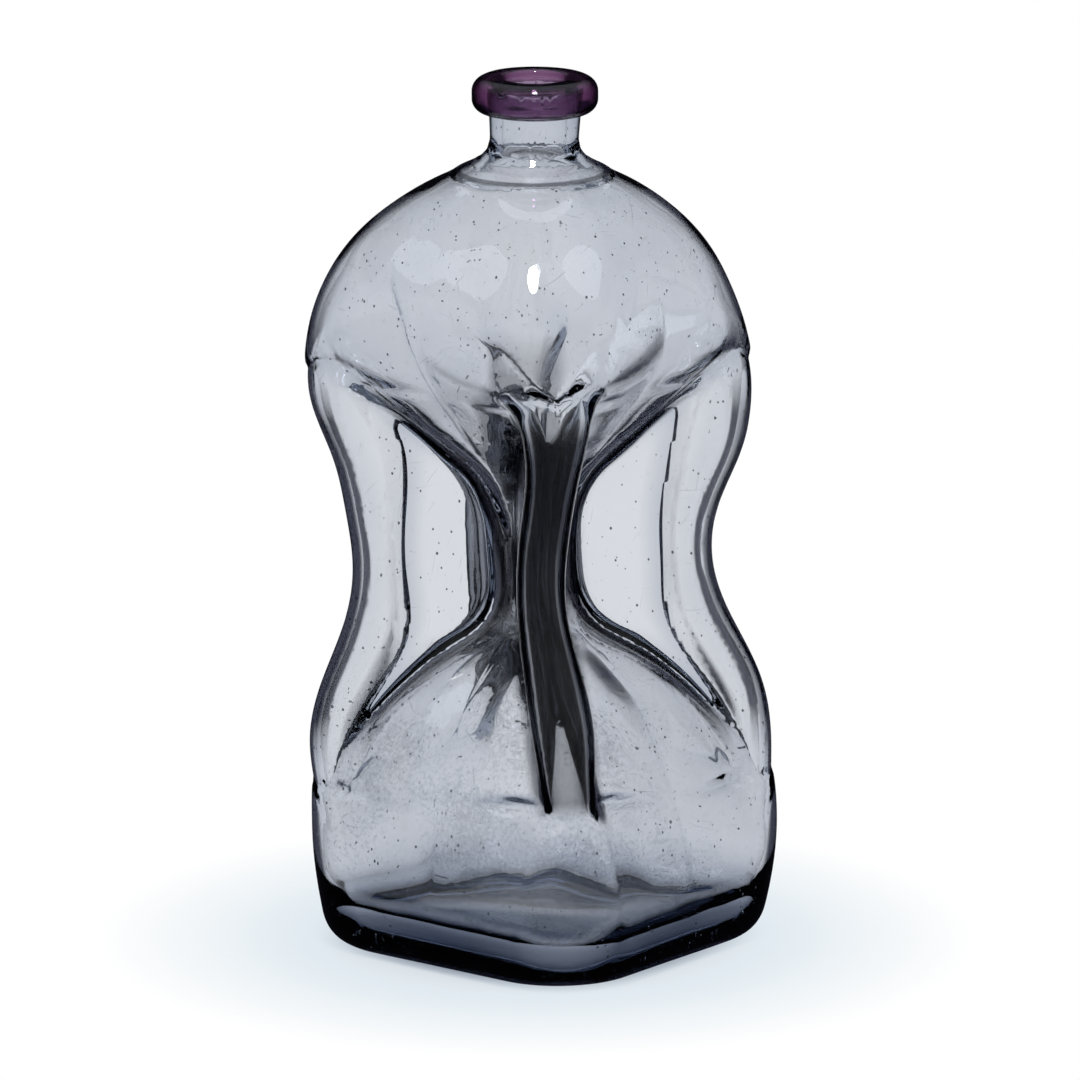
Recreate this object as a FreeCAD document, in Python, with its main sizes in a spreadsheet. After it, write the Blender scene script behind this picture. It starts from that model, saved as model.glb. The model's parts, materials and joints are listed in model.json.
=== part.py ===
import FreeCAD, Part
import math
import os
import Sketcher

# A blown glass bottle whose waist is pinched in from four sides, so that the upper
# and the lower bulb are joined by five channels: a central throat and four corner
# tubes. A thin web of fused glass ties each corner tube to the throat.
# Millimetres, +Z up, flat faces square to X and Y, corner tubes on the diagonals,
# origin at the middle of the foot.

# Driving sizes: name, value, what it is
SIZES = [
    ("lower_bulb_height", 46.0, "foot to the lower tips of the webs"),
    ("waist_lower_height", 54.0, "lower web tips to the narrowest level"),
    ("waist_upper_height", 45.0, "narrowest level to the upper web tips"),
    ("upper_bulb_height", 59.0, "upper web tips to the foot of the neck"),
    ("neck_length", 23.0, "foot of the neck to its cut end"),
    ("upper_half_side", 49.4, "upper bulb, axis to flat side"),
    ("upper_corner_radius", 28.0, "upper bulb, corner radius at its fullest"),
    ("lower_half_side", 48.2, "lower bulb, axis to flat side"),
    ("lower_corner_radius", 18.0, "lower bulb, corner radius at its fullest"),
    ("waist_reach", 46.0, "axis to the outside of a corner tube at the waist"),
    ("tube_depth", 14.4, "corner tube at the waist, across, along the diagonal"),
    ("tube_width", 13.4, "corner tube at the waist, across, square to the diagonal"),
    ("tube_wall", 2.6, "glass of the corner tubes"),
    ("throat_radius", 9.8, "central throat, outside"),
    ("funnel_slope", 40.0, "floor of the upper bulb against level, degrees"),
    ("funnel_bend", 24.0, "radius of the bend from the throat to the upper floor"),
    ("rim_slope", 25.0, "floor of the upper bulb outside that, degrees"),
    ("throat_straight", 13.5, "straight length of the throat"),
    ("throat_drop", 3.5, "how far the straight throat reaches below the waist level"),
    ("dome_slope", 27.0, "top of the lower bulb at the throat, degrees"),
    ("dome_bend", 18.0, "radius of the bend from the throat to the dome"),
    ("dome_edge_drop", 2.1, "lower web tips to the edge of the dome"),
    ("dome_edge_slope", 65.0, "slope of the glass outside the dome's edge, degrees"),
    ("web_thickness", 3.0, "glass of the webs"),
    ("wall", 2.8, "glass of the bulbs and the throat"),
    ("base_thickness", 6.0, "glass under the lower bulb"),
    ("kick_up_radius", 26.0, "hollow under the foot, radius"),
    ("kick_up_height", 3.0, "hollow under the foot, depth"),
    ("neck_bore", 8.2, "bore of the neck, radius"),
    ("neck_outer", 11.6, "neck, outside radius at the foot cone"),
    ("neck_outer_top", 12.3, "neck, outside radius under the lip"),
    ("neck_foot_radius", 19.6, "foot cone of the neck, radius on the shoulder"),
    ("neck_foot_height", 5.0, "foot cone of the neck, height"),
    ("neck_mouth_radius", 14.0, "inside flare of the neck where it meets the bulb"),
    ("lip_radius", 16.2, "applied lip ring, outside radius"),
    ("lip_height", 9.5, "applied lip ring, height"),
    ("lip_over", 3.0, "how far the lip stands above the end of the neck"),
    ("lip_round", 3.6, "rounding of the lip's outer edge"),
    ("lip_mouth_round", 1.2, "rounding of the lip's inner edge"),
    ("throat_top_land", 5.0, "straight throat to where the upper floor's glass starts"),
    ("throat_foot_land", 9.0, "straight throat to where the dome's glass starts"),
    ("cutter_margin", 5.0, "how far the cutting forms stand outside the glass"),
    ("least_corner", 2.0, "least corner radius of a bulb section, inside"),
]

# Levels above the foot
LOWER_TIP = "sizes.lower_bulb_height"
WAIST = f"({LOWER_TIP} + sizes.waist_lower_height)"
UPPER_TIP = f"({WAIST} + sizes.waist_upper_height)"
NECK_FOOT = f"({UPPER_TIP} + sizes.upper_bulb_height)"
NECK_END = f"({NECK_FOOT} + sizes.neck_length)"
LIP_TOP = f"({NECK_END} + sizes.lip_over)"
LIP_BOTTOM = f"({LIP_TOP} - sizes.lip_height)"
THROAT_TOP = f"({WAIST} + sizes.throat_straight - sizes.throat_drop)"
THROAT_BOTTOM = f"({WAIST} - sizes.throat_drop)"

# Corner reach of a rounded square: axis to corner along the diagonal
UPPER_REACH = (
    "((sizes.upper_half_side - sizes.upper_corner_radius) * sqrt(2)"
    " + sizes.upper_corner_radius)"
)
LOWER_REACH = (
    "((sizes.lower_half_side - sizes.lower_corner_radius) * sqrt(2)"
    " + sizes.lower_corner_radius)"
)

# Shares of the corner reach: where the upper floor turns flatter, and the dome's edge
FUNNEL_RIM_SHARE = 0.798
DOME_EDGE_SHARE = 0.9045

# The bulbs are parted from the funnel and the dome at these levels
UPPER_SEAM = f"({UPPER_TIP} + 0.09 * sizes.upper_bulb_height)"
LOWER_SEAM = f"(1.04 * {LOWER_TIP})"

# Plain plugs carry the bulbs on towards the waist: shares of the half side
UPPER_PLUG_SHARE = 0.80
LOWER_PLUG_SHARE = 0.85

# Corner radius of a tube's section as a share of its smaller half
TUBE_ROUNDNESS = 0.88

# Sections of the upper bulb from its floor to the foot of the neck:
# share of the bulb's height, share of the half side, share of the corner radius,
# tilt of the wall from upright in degrees
UPPER_SECTIONS = [
    (-0.05, 0.810, 0.22, 0.0),
    (0.07, 0.911, 0.50, 0.0),
    (0.19, 0.970, 0.86, 0.0),
    (0.36, 0.972, 1.07, 12.0),
    (0.53, 0.909, 1.04, 28.0),
    (0.73, 0.787, 0.96, 45.0),
    (0.88, 0.630, 0.86, 58.0),
    (1.00, 0.415, 0.61, 72.0),
]

# Sections of the lower bulb from the foot to under its domed top, the same way,
# as shares of the lower bulb's height
LOWER_SECTIONS = [
    (0.00, 0.870, 0.85, 0.0),
    (0.07, 0.930, 0.92, 0.0),
    (0.20, 0.965, 1.00, 0.0),
    (0.52, 1.000, 1.00, 0.0),
    (0.83, 0.980, 0.84, 0.0),
    (1.05, 0.946, 0.62, 0.0),
    (1.24, 0.893, 0.36, 0.0),
    (1.40, 0.858, 0.28, 0.0),
]

# Sections of a corner tube from its foot to its top: share of the waist's lower
# (negative) or upper height, share of the way from the waist's reach to the bulb's,
# share of the depth, share of the width, share of the sideways bow at the foot,
# the waist and the top
TUBE_SECTIONS = [
    (-1.33, 0.90, 0.86, 1.05, (1.0, 0.0, 0.0)),
    (-1.11, 0.91, 0.88, 1.08, (1.0, 0.0, 0.0)),
    (-0.83, 0.99, 0.89, 1.16, (0.9, 0.1, 0.0)),
    (-0.56, 0.73, 1.18, 1.25, (0.6, 0.4, 0.0)),
    (-0.28, 0.30, 1.24, 1.12, (0.2, 0.8, 0.0)),
    (0.00, 0.00, 1.00, 1.00, (0.0, 1.0, 0.0)),
    (0.40, 0.25, 1.18, 0.99, (0.0, 0.7, 0.3)),
    (0.78, 0.73, 1.42, 1.04, (0.0, 0.2, 0.8)),
    (1.11, 0.96, 1.33, 1.35, (0.0, 0.0, 1.0)),
    (1.38, 0.86, 1.15, 1.65, (0.0, 0.0, 1.0)),
]

# Each corner tube: name, direction of its diagonal in degrees, and how far hand
# work has pushed it sideways at the foot, the waist and the top, in tube widths
CORNERS = [
    ("back_right", 45.0, (0.0, 0.0, 0.0)),
    ("back_left", 135.0, (0.26, 0.52, -0.33)),
    ("front_left", 225.0, (0.0, 0.0, 0.0)),
    ("front_right", 315.0, (0.07, -0.19, 0.06)),
]

doc = FreeCAD.newDocument("gurgling_bottle")
sheet = doc.addObject("Spreadsheet::Sheet", "sizes")
for row, (name, value, note) in enumerate(SIZES, start=1):
    sheet.set(f"A{row}", name)
    sheet.set(f"B{row}", str(value))
    sheet.set(f"C{row}", note)
    sheet.setAlias(f"B{row}", name)
doc.recompute()


def number(expression):
    """Value of an expression over the sheet."""
    return float(sheet.evalExpression(expression))


def new_sketch(body, name, role):
    """An empty sketch on one of the body's own origin planes."""
    sketch = body.newObject("Sketcher::SketchObject", name)
    plane = next(p for p in body.Origin.OriginFeatures if p.Role == role)
    sketch.AttachmentSupport = [(plane, "")]
    sketch.MapMode = "FlatFace"
    return sketch


def drive(sketch, kind, *parts):
    """Adds a dimension whose value follows an expression, which comes last."""
    *places, expression = parts
    index = sketch.addConstraint(
        Sketcher.Constraint(kind, *places, number(expression))
    )
    sketch.setExpression(f"Constraints[{index}]", expression)


def rounded_rectangle(body, name, place, half_x, half_y, corner):
    """A level rounded rectangle, centred on place."""
    sketch = new_sketch(body, name, "XY_Plane")
    a, b, c = number(half_x), number(half_y), number(corner)
    up = FreeCAD.Vector(0, 0, 1)
    v = FreeCAD.Vector
    ends = [
        (v(-a + c, -b, 0), v(a - c, -b, 0)),
        (v(a, -b + c, 0), v(a, b - c, 0)),
        (v(a - c, b, 0), v(-a + c, b, 0)),
        (v(-a, b - c, 0), v(-a, -b + c, 0)),
    ]
    centres = [
        v(a - c, -b + c, 0),
        v(a - c, b - c, 0),
        v(-a + c, b - c, 0),
        v(-a + c, -b + c, 0),
    ]
    quarter = math.pi / 2
    for side in range(4):
        sketch.addGeometry(Part.LineSegment(*ends[side]))
        circle = Part.Circle(centres[side], up, c)
        start = (side - 1) * quarter
        sketch.addGeometry(Part.ArcOfCircle(circle, start, start + quarter))
    for side in range(4):
        line, arc = 2 * side, 2 * side + 1
        following = (2 * side + 2) % 8
        sketch.addConstraint(Sketcher.Constraint("Tangent", line, 2, arc, 1))
        sketch.addConstraint(Sketcher.Constraint("Tangent", arc, 2, following, 1))
        level = "Horizontal" if side % 2 == 0 else "Vertical"
        sketch.addConstraint(Sketcher.Constraint(level, line))
    for arc in (3, 5, 7):
        sketch.addConstraint(Sketcher.Constraint("Equal", 1, arc))
    drive(sketch, "Radius", 1, corner)
    drive(sketch, "DistanceX", -1, 1, 2, 1, half_x)
    drive(sketch, "DistanceX", 6, 1, 2, 1, f"2 * ({half_x})")
    drive(sketch, "DistanceY", -1, 1, 4, 1, half_y)
    drive(sketch, "DistanceY", 0, 1, 4, 1, f"2 * ({half_y})")
    place_section(sketch, place)
    return sketch


def place_section(sketch, place, turn=None):
    """Puts a level section at its place and turns it about the vertical."""
    sketch.AttachmentOffset = FreeCAD.Placement(
        FreeCAD.Vector(0, 0, 0), FreeCAD.Rotation(FreeCAD.Vector(0, 0, 1), 0)
    )
    for axis, expression in zip("xyz", place):
        sketch.setExpression(f"AttachmentOffset.Base.{axis}", expression)
    if turn is not None:
        sketch.setExpression("AttachmentOffset.Rotation.Angle", turn)


def outline(body, name, corners):
    """A closed outline in the X-Z plane, right of the axis. Each corner is its
    distance from the axis, its level, and the radius of the arc that leaves it
    (None for a straight line; negative if the arc turns clockwise)."""
    sketch = new_sketch(body, name, "XZ_Plane")
    points = [FreeCAD.Vector(number(r), number(z), 0) for r, z, _ in corners]
    count = len(corners)
    arcs = []
    for i, (_, _, radius) in enumerate(corners):
        start, end = points[i], points[(i + 1) % count]
        if radius is None:
            sketch.addGeometry(Part.LineSegment(start, end))
            continue
        bend, turned = number(radius), radius.startswith("-")
        middle = (start + end) * 0.5
        chord = end - start
        half = chord.Length / 2
        rise = max(bend * bend - half * half, 0.0) ** 0.5
        across = FreeCAD.Vector(-chord.y, chord.x, 0).normalize()
        side = -1.0 if turned else 1.0
        centre = middle + across * (rise * side)
        out = across * -side
        sketch.addGeometry(Part.Arc(start, centre + out * abs(bend), end))
        arcs.append(i)
    # an arc is stored counter-clockwise, so its first end may be the outline's second
    first = [2 if i in arcs and corners[i][2].startswith("-") else 1 for i in range(count)]
    for i in range(count):
        j = (i + 1) % count
        sketch.addConstraint(
            Sketcher.Constraint("Coincident", i, 3 - first[i], j, first[j])
        )
    for i, (r, z, radius) in enumerate(corners):
        if r == "0":
            sketch.addConstraint(Sketcher.Constraint("PointOnObject", i, first[i], -2))
        else:
            drive(sketch, "DistanceX", -1, 1, i, first[i], r)
        if z == "0":
            sketch.addConstraint(Sketcher.Constraint("PointOnObject", i, first[i], -1))
        else:
            drive(sketch, "DistanceY", -1, 1, i, first[i], z)
        if radius is not None:
            drive(sketch, "Radius", i, radius.lstrip("-"))
    return sketch


def new_body(name):
    """A body named for what it holds."""
    return doc.addObject("PartDesign::Body", name)


def revolved(name, corners):
    """A body made by turning an outline about the axis."""
    body = new_body(name)
    profile = outline(body, f"{name}_outline", corners)
    turn = body.newObject("PartDesign::Revolution", f"{name}_turned")
    turn.Profile = profile
    turn.ReferenceAxis = (profile, ["V_Axis"])
    turn.Angle = 360.0
    return body


def lofted(body, name, sections):
    """A smooth loft through level sections, lowest first."""
    loft = body.newObject("PartDesign::AdditiveLoft", name)
    loft.Profile = sections[0]
    loft.Sections = sections[1:]
    loft.Ruled = False
    loft.Closed = False
    return loft


def boolean(kind, name, base, *others):
    """A Part boolean of kind Cut, Common or MultiFuse."""
    result = doc.addObject(f"Part::{kind}", name)
    if kind in ("Cut", "Common"):
        result.Base = base
        result.Tool = others[0]
    else:
        result.Shapes = [base, *others]
    return result


# Bulbs, outside and inside

def bulb_form(name, sections, start, height, half_side, corner, plug_sizes, inset):
    """The full body of a bulb: a loft through rounded squares and a plain plug
    that carries it on towards the waist. inset is the glass left out of it."""
    body = new_body(name)
    sketches = []
    for i, (share, side, bend, tilt) in enumerate(sections):
        level = f"{start} + {share} * {height} - {inset} * sin({tilt} * 1 deg)"
        half = f"{side} * {half_side} - {inset} * cos({tilt} * 1 deg)"
        radius = f"max({bend} * {corner} - {inset} * cos({tilt} * 1 deg); sizes.least_corner)"
        sketches.append(
            rounded_rectangle(
                body, f"{name}_section_{i}", ("0", "0", level), half, half, radius
            )
        )
    lofted(body, f"{name}_loft", sketches)
    low, high, reach = plug_sizes
    plug = new_sketch(body, f"{name}_plug_outline", "XY_Plane")
    plug.addGeometry(
        Part.Circle(FreeCAD.Vector(0, 0, 0), FreeCAD.Vector(0, 0, 1), number(reach))
    )
    plug.addConstraint(Sketcher.Constraint("Coincident", 0, 3, -1, 1))
    drive(plug, "Radius", 0, reach)
    place_section(plug, ("0", "0", low))
    pad = body.newObject("PartDesign::Pad", f"{name}_plug")
    pad.Profile = plug
    pad.setExpression("Length", f"{high} - ({low})")
    return body


# The waist: funnel above, throat, dome below

def waist_form(name, inset):
    """The funnel, the throat and the dome, turned about the axis. inset moves the
    surface inwards by the thickness of the glass."""
    throat = f"(sizes.throat_radius - {inset})"
    slope, rim, low, edge_slope = (
        f"({alias} * 1 deg)"
        for alias in (
            "sizes.funnel_slope",
            "sizes.rim_slope",
            "sizes.dome_slope",
            "sizes.dome_edge_slope",
        )
    )
    funnel_bend = f"(sizes.funnel_bend + {inset})"
    bend_r = f"({throat} + {funnel_bend} * (1 - sin{slope}))"
    bend_z = f"({THROAT_TOP} + {funnel_bend} * cos{slope})"
    rim_r = f"({FUNNEL_RIM_SHARE} * {UPPER_REACH})"
    rim_z = f"({bend_z} + ({rim_r} - {bend_r}) * tan{slope})"
    far = f"({UPPER_REACH} + sizes.cutter_margin)"
    far_z = f"({rim_z} + ({far} - {rim_r}) * tan{rim})"
    # the dome is one arc from the throat's bend to its edge, outside the glass
    run = (
        f"({DOME_EDGE_SHARE} * {LOWER_REACH} - sizes.throat_radius"
        f" - sizes.dome_bend * (1 - sin{low}))"
    )
    fall = (
        f"({THROAT_BOTTOM} - sizes.dome_bend * cos{low}"
        f" - {LOWER_TIP} + sizes.dome_edge_drop)"
    )
    aside = f"({fall} * cos{low} - {run} * sin{low})"
    along = f"({run} * cos{low} + {fall} * sin{low})"
    dome_radius = f"(({run} ^ 2 + {fall} ^ 2) / (2 * {aside}) - {inset})"
    edge = f"({low} + 2 * atan({aside} / {along}))"
    dome_bend = f"(sizes.dome_bend + {inset})"
    dome_r = f"({throat} + {dome_bend} * (1 - sin{low}))"
    dome_z = f"({THROAT_BOTTOM} - {dome_bend} * cos{low})"
    edge_r = f"({dome_r} + {dome_radius} * (sin{edge} - sin{low}))"
    edge_z = f"({dome_z} - {dome_radius} * (cos{low} - cos{edge}))"
    skirt = f"({LOWER_REACH} + sizes.cutter_margin)"
    skirt_z = f"({edge_z} - ({skirt} - {edge_r}) * tan{edge_slope})"
    return revolved(
        name,
        [
            ("0", "0", None),
            (skirt, "0", None),
            (skirt, skirt_z, None),
            (edge_r, edge_z, dome_radius),
            (dome_r, dome_z, f"-{dome_bend}"),
            (throat, THROAT_BOTTOM, None),
            (throat, THROAT_TOP, f"-{funnel_bend}"),
            (bend_r, bend_z, None),
            (rim_r, rim_z, None),
            (far, far_z, None),
            (far, NECK_END, None),
            ("0", NECK_END, None),
        ],
    )


# Corner tubes and webs

def tube_row(row, bow):
    """Level, distance from the axis, sideways offset, depth and width of a section."""
    share, out, depth, width, weights = row
    height = "sizes.waist_upper_height" if share > 0 else "sizes.waist_lower_height"
    reach = UPPER_REACH if share > 0 else LOWER_REACH
    level = f"{WAIST} + {share} * {height}"
    outer = f"(sizes.waist_reach + {out} * ({reach} - sizes.waist_reach))"
    deep = f"({depth} * sizes.tube_depth)"
    wide = f"({width} * sizes.tube_width)"
    centre = f"({outer} - {deep} / 2)"
    pushed = sum(weight * part for weight, part in zip(weights, bow))
    aside = f"({round(pushed, 4)} * sizes.tube_width)"
    return level, centre, aside, deep, wide


def tube_form(name, turn, bow, inset):
    """A corner tube's outside, or its bore if inset is the thickness of the glass."""
    body = new_body(name)
    sketches = []
    for i, row in enumerate(TUBE_SECTIONS):
        level, centre, aside, deep, wide = tube_row(row, bow)
        half_x = f"({deep} / 2 - {inset})"
        half_y = f"({wide} / 2 - {inset})"
        corner = f"{TUBE_ROUNDNESS} * min({half_x}; {half_y})"
        sketches.append(
            rounded_rectangle(
                body,
                f"{name}_section_{i}",
                (centre, aside, level),
                half_x,
                half_y,
                corner,
            )
        )
    lofted(body, f"{name}_loft", sketches)
    body.Placement = FreeCAD.Placement(
        FreeCAD.Vector(0, 0, 0), FreeCAD.Rotation(FreeCAD.Vector(0, 0, 1), turn)
    )
    return body


def web_form(name, turn, bow):
    """The sheet between the axis and the middle of a corner tube."""
    body = new_body(name)
    sketches = []
    for i, row in enumerate(TUBE_SECTIONS):
        level, centre, aside, _, _ = tube_row(row, bow)
        sketch = new_sketch(body, f"{name}_section_{i}", "XY_Plane")
        length, half = number(centre), number("sizes.web_thickness") / 2
        v = FreeCAD.Vector
        ends = [v(0, -half, 0), v(length, -half, 0), v(length, half, 0), v(0, half, 0)]
        for side in range(4):
            sketch.addGeometry(Part.LineSegment(ends[side], ends[(side + 1) % 4]))
            sketch.addConstraint(
                Sketcher.Constraint("Horizontal" if side % 2 == 0 else "Vertical", side)
            )
        for side in range(4):
            sketch.addConstraint(
                Sketcher.Constraint("Coincident", side, 2, (side + 1) % 4, 1)
            )
        sketch.addConstraint(Sketcher.Constraint("PointOnObject", 0, 1, -2))
        drive(sketch, "DistanceX", 0, 1, 0, 2, centre)
        drive(sketch, "DistanceY", -1, 1, 2, 1, "sizes.web_thickness / 2")
        drive(sketch, "DistanceY", 1, 1, 1, 2, "sizes.web_thickness")
        place_section(sketch, ("0", "0", level), f"atan({aside} / {centre})")
        sketches.append(sketch)
    lofted(body, f"{name}_loft", sketches)
    body.Placement = FreeCAD.Placement(
        FreeCAD.Vector(0, 0, 0), FreeCAD.Rotation(FreeCAD.Vector(0, 0, 1), turn)
    )
    return body


# Where the glass of the funnel and of the dome is parted from the throat's
UPPER_CUT = f"({THROAT_TOP} + sizes.throat_top_land)"
LOWER_CUT = f"({THROAT_BOTTOM} - sizes.throat_foot_land)"
LOWER_PLUG_START = f"(1.3 * {LOWER_TIP})"
UPPER_PLUG = f"({UPPER_PLUG_SHARE} * sizes.upper_half_side)"
LOWER_PLUG = f"({LOWER_PLUG_SHARE} * sizes.lower_half_side)"

upper_outer = bulb_form(
    "upper_outer_form",
    UPPER_SECTIONS,
    UPPER_TIP,
    "sizes.upper_bulb_height",
    "sizes.upper_half_side",
    "sizes.upper_corner_radius",
    (UPPER_CUT, UPPER_TIP, UPPER_PLUG),
    "0",
)
upper_inner = bulb_form(
    "upper_inner_form",
    UPPER_SECTIONS,
    UPPER_TIP,
    "sizes.upper_bulb_height",
    "sizes.upper_half_side",
    "sizes.upper_corner_radius",
    (f"{UPPER_CUT} - sizes.wall", UPPER_TIP, f"{UPPER_PLUG} - sizes.wall"),
    "sizes.wall",
)
lower_outer = bulb_form(
    "lower_outer_form",
    LOWER_SECTIONS,
    "0",
    "sizes.lower_bulb_height",
    "sizes.lower_half_side",
    "sizes.lower_corner_radius",
    (LOWER_PLUG_START, LOWER_CUT, LOWER_PLUG),
    "0",
)
lower_inner = bulb_form(
    "lower_inner_form",
    LOWER_SECTIONS,
    "sizes.base_thickness",
    "(sizes.lower_bulb_height - sizes.base_thickness)",
    "sizes.lower_half_side",
    "sizes.lower_corner_radius",
    (LOWER_PLUG_START, f"{LOWER_CUT} + sizes.wall", f"{LOWER_PLUG} - sizes.wall"),
    "sizes.wall",
)
waist_outer = waist_form("waist_outer_form", "0")
waist_inner = waist_form("waist_inner_form", "sizes.wall")

tubes = {}
bores = {}
webs = {}
for corner_name, direction, bow in CORNERS:
    tubes[corner_name] = tube_form(f"tube_outer_{corner_name}", direction, bow, "0")
    bores[corner_name] = tube_form(
        f"tube_bore_{corner_name}", direction, bow, "sizes.tube_wall"
    )
    webs[corner_name] = web_form(f"web_form_{corner_name}", direction, bow)

bore_set = boolean("MultiFuse", "tube_bores", *bores.values())


def above(name, level):
    """A drum wider than the bottle that starts at a level and covers what is above."""
    drum = doc.addObject("Part::Cylinder", name)
    drum.setExpression("Radius", "2 * sizes.upper_half_side")
    drum.setExpression("Height", NECK_END)
    drum.setExpression("Placement.Base.z", level)
    return drum


above_upper_seam = above("above_upper_seam", UPPER_SEAM)
above_lower_seam = above("above_lower_seam", LOWER_SEAM)
above_waist = above("above_waist", WAIST)

# Upper bulb and its funnel floor: open below to the throat and the four tubes,
# open above to the neck
neck_hole = doc.addObject("Part::Cylinder", "neck_hole")
neck_hole.setExpression("Radius", "sizes.neck_mouth_radius")
neck_hole.setExpression("Height", "3 * sizes.wall")
neck_hole.setExpression("Placement.Base.z", f"{NECK_FOOT} - 2 * sizes.wall")
upper_solid = boolean("Common", "upper_solid", upper_outer, waist_outer)
upper_hollow = boolean("Common", "upper_hollow", upper_inner, waist_inner)
upper_shell = boolean("Cut", "upper_shell", upper_solid, upper_hollow)
upper_open = boolean("Cut", "upper_open", upper_shell, neck_hole)
upper_glass = boolean("Cut", "upper_glass", upper_open, bore_set)
upper_bulb = boolean("Common", "upper_bulb", upper_glass, above_upper_seam)
funnel_floor = boolean("Cut", "funnel_floor", upper_glass, above_upper_seam)

# Lower bulb and its domed top: open above, with a hollow pushed up under the foot
kick_up = doc.addObject("Part::Sphere", "kick_up")
kick_up.setExpression(
    "Radius",
    "(sizes.kick_up_radius ^ 2 + sizes.kick_up_height ^ 2) / (2 * sizes.kick_up_height)",
)
kick_up.setExpression("Placement.Base.z", "sizes.kick_up_height - kick_up.Radius / 1 mm")
lower_solid = boolean("Common", "lower_solid", lower_outer, waist_outer)
lower_hollow = boolean("Common", "lower_hollow", lower_inner, waist_inner)
lower_shell = boolean("Cut", "lower_shell", lower_solid, lower_hollow)
lower_open = boolean("Cut", "lower_open", lower_shell, bore_set)
lower_glass = boolean("Cut", "lower_glass", lower_open, kick_up)
domed_top = boolean("Common", "domed_top", lower_glass, above_lower_seam)
lower_bulb = boolean("Cut", "lower_bulb", lower_glass, above_lower_seam)

# Throat
throat_length = doc.addObject("Part::Cylinder", "throat_length")
throat_length.setExpression("Radius", "sizes.waist_reach")
throat_length.setExpression("Height", f"{UPPER_CUT} - {LOWER_CUT}")
throat_length.setExpression("Placement.Base.z", LOWER_CUT)
throat_solid = boolean("Common", "throat_solid", throat_length, waist_outer)
throat_tube = boolean("Cut", "throat_tube", throat_solid, waist_inner)

finished = {
    "upper_bulb": upper_bulb,
    "funnel_floor": funnel_floor,
    "throat_tube": throat_tube,
    "domed_top": domed_top,
    "lower_bulb": lower_bulb,
}

# Corner tubes end on the floor of the upper bulb and on the dome of the lower one.
# Each is parted at the waist into an upper and a lower length.
for corner_name, _, _ in CORNERS:
    hollow = boolean(
        "Cut", f"tube_hollow_{corner_name}", tubes[corner_name], bores[corner_name]
    )
    tube = boolean("Cut", f"tube_glass_{corner_name}", hollow, waist_outer)
    for part, kind in (("upper", "Common"), ("lower", "Cut")):
        name = f"corner_tube_{part}_{corner_name}"
        finished[name] = boolean(kind, name, tube, above_waist)
    clear = boolean("Cut", f"web_clear_{corner_name}", webs[corner_name], waist_outer)
    name = f"pinched_web_{corner_name}"
    finished[name] = boolean("Cut", name, clear, tubes[corner_name])

# Neck: a slightly flaring tube on a foot cone
finished["neck"] = revolved(
    "neck",
    [
        ("sizes.neck_mouth_radius", NECK_FOOT, None),
        ("sizes.neck_foot_radius", NECK_FOOT, None),
        ("sizes.neck_outer", f"{NECK_FOOT} + sizes.neck_foot_height", None),
        ("sizes.neck_outer_top", NECK_END, None),
        ("sizes.neck_bore", NECK_END, None),
        ("sizes.neck_bore", f"{NECK_FOOT} + sizes.neck_foot_height", None),
    ],
)

# Lip: a ring laid round the end of the neck and over it
lip_waist = (
    "(sizes.neck_outer_top - (sizes.neck_outer_top - sizes.neck_outer)"
    " * (sizes.lip_height - sizes.lip_over)"
    " / (sizes.neck_length - sizes.neck_foot_height))"
)
finished["lip_ring"] = revolved(
    "lip_ring",
    [
        (lip_waist, LIP_BOTTOM, None),
        ("sizes.lip_radius - sizes.lip_round", LIP_BOTTOM, "sizes.lip_round"),
        ("sizes.lip_radius", f"{LIP_BOTTOM} + sizes.lip_round", None),
        ("sizes.lip_radius", f"{LIP_TOP} - sizes.lip_round", "sizes.lip_round"),
        ("sizes.lip_radius - sizes.lip_round", LIP_TOP, None),
        ("sizes.neck_bore + sizes.lip_mouth_round", LIP_TOP, "sizes.lip_mouth_round"),
        ("sizes.neck_bore", f"{LIP_TOP} - sizes.lip_mouth_round", None),
        ("sizes.neck_bore", NECK_END, None),
        ("sizes.neck_outer_top", NECK_END, None),
    ],
)

doc.recompute()

# Nothing is written unless every object is sound
for item in doc.Objects:
    if "Invalid" in item.State or "Error" in item.State:
        raise RuntimeError(f"{item.Name} did not build: {item.State}")
for name, item in finished.items():
    item.Label = name
    shape = item.Shape
    if shape.isNull() or not shape.isValid() or len(shape.Solids) != 1:
        raise RuntimeError(f"{name} is not one sound solid: {len(shape.Solids)} solids")

os.makedirs("parts", exist_ok=True)
for name, item in finished.items():
    item.Shape.exportStep(f"parts/{name}.step")
    box = item.Shape.BoundBox
    print(f"{name:28s} {item.Shape.Volume / 1000:8.2f} cm3  z {box.ZMin:7.2f} to {box.ZMax:7.2f}")
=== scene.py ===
import json
import logging
import math
from dataclasses import dataclass, field
from enum import Enum

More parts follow.
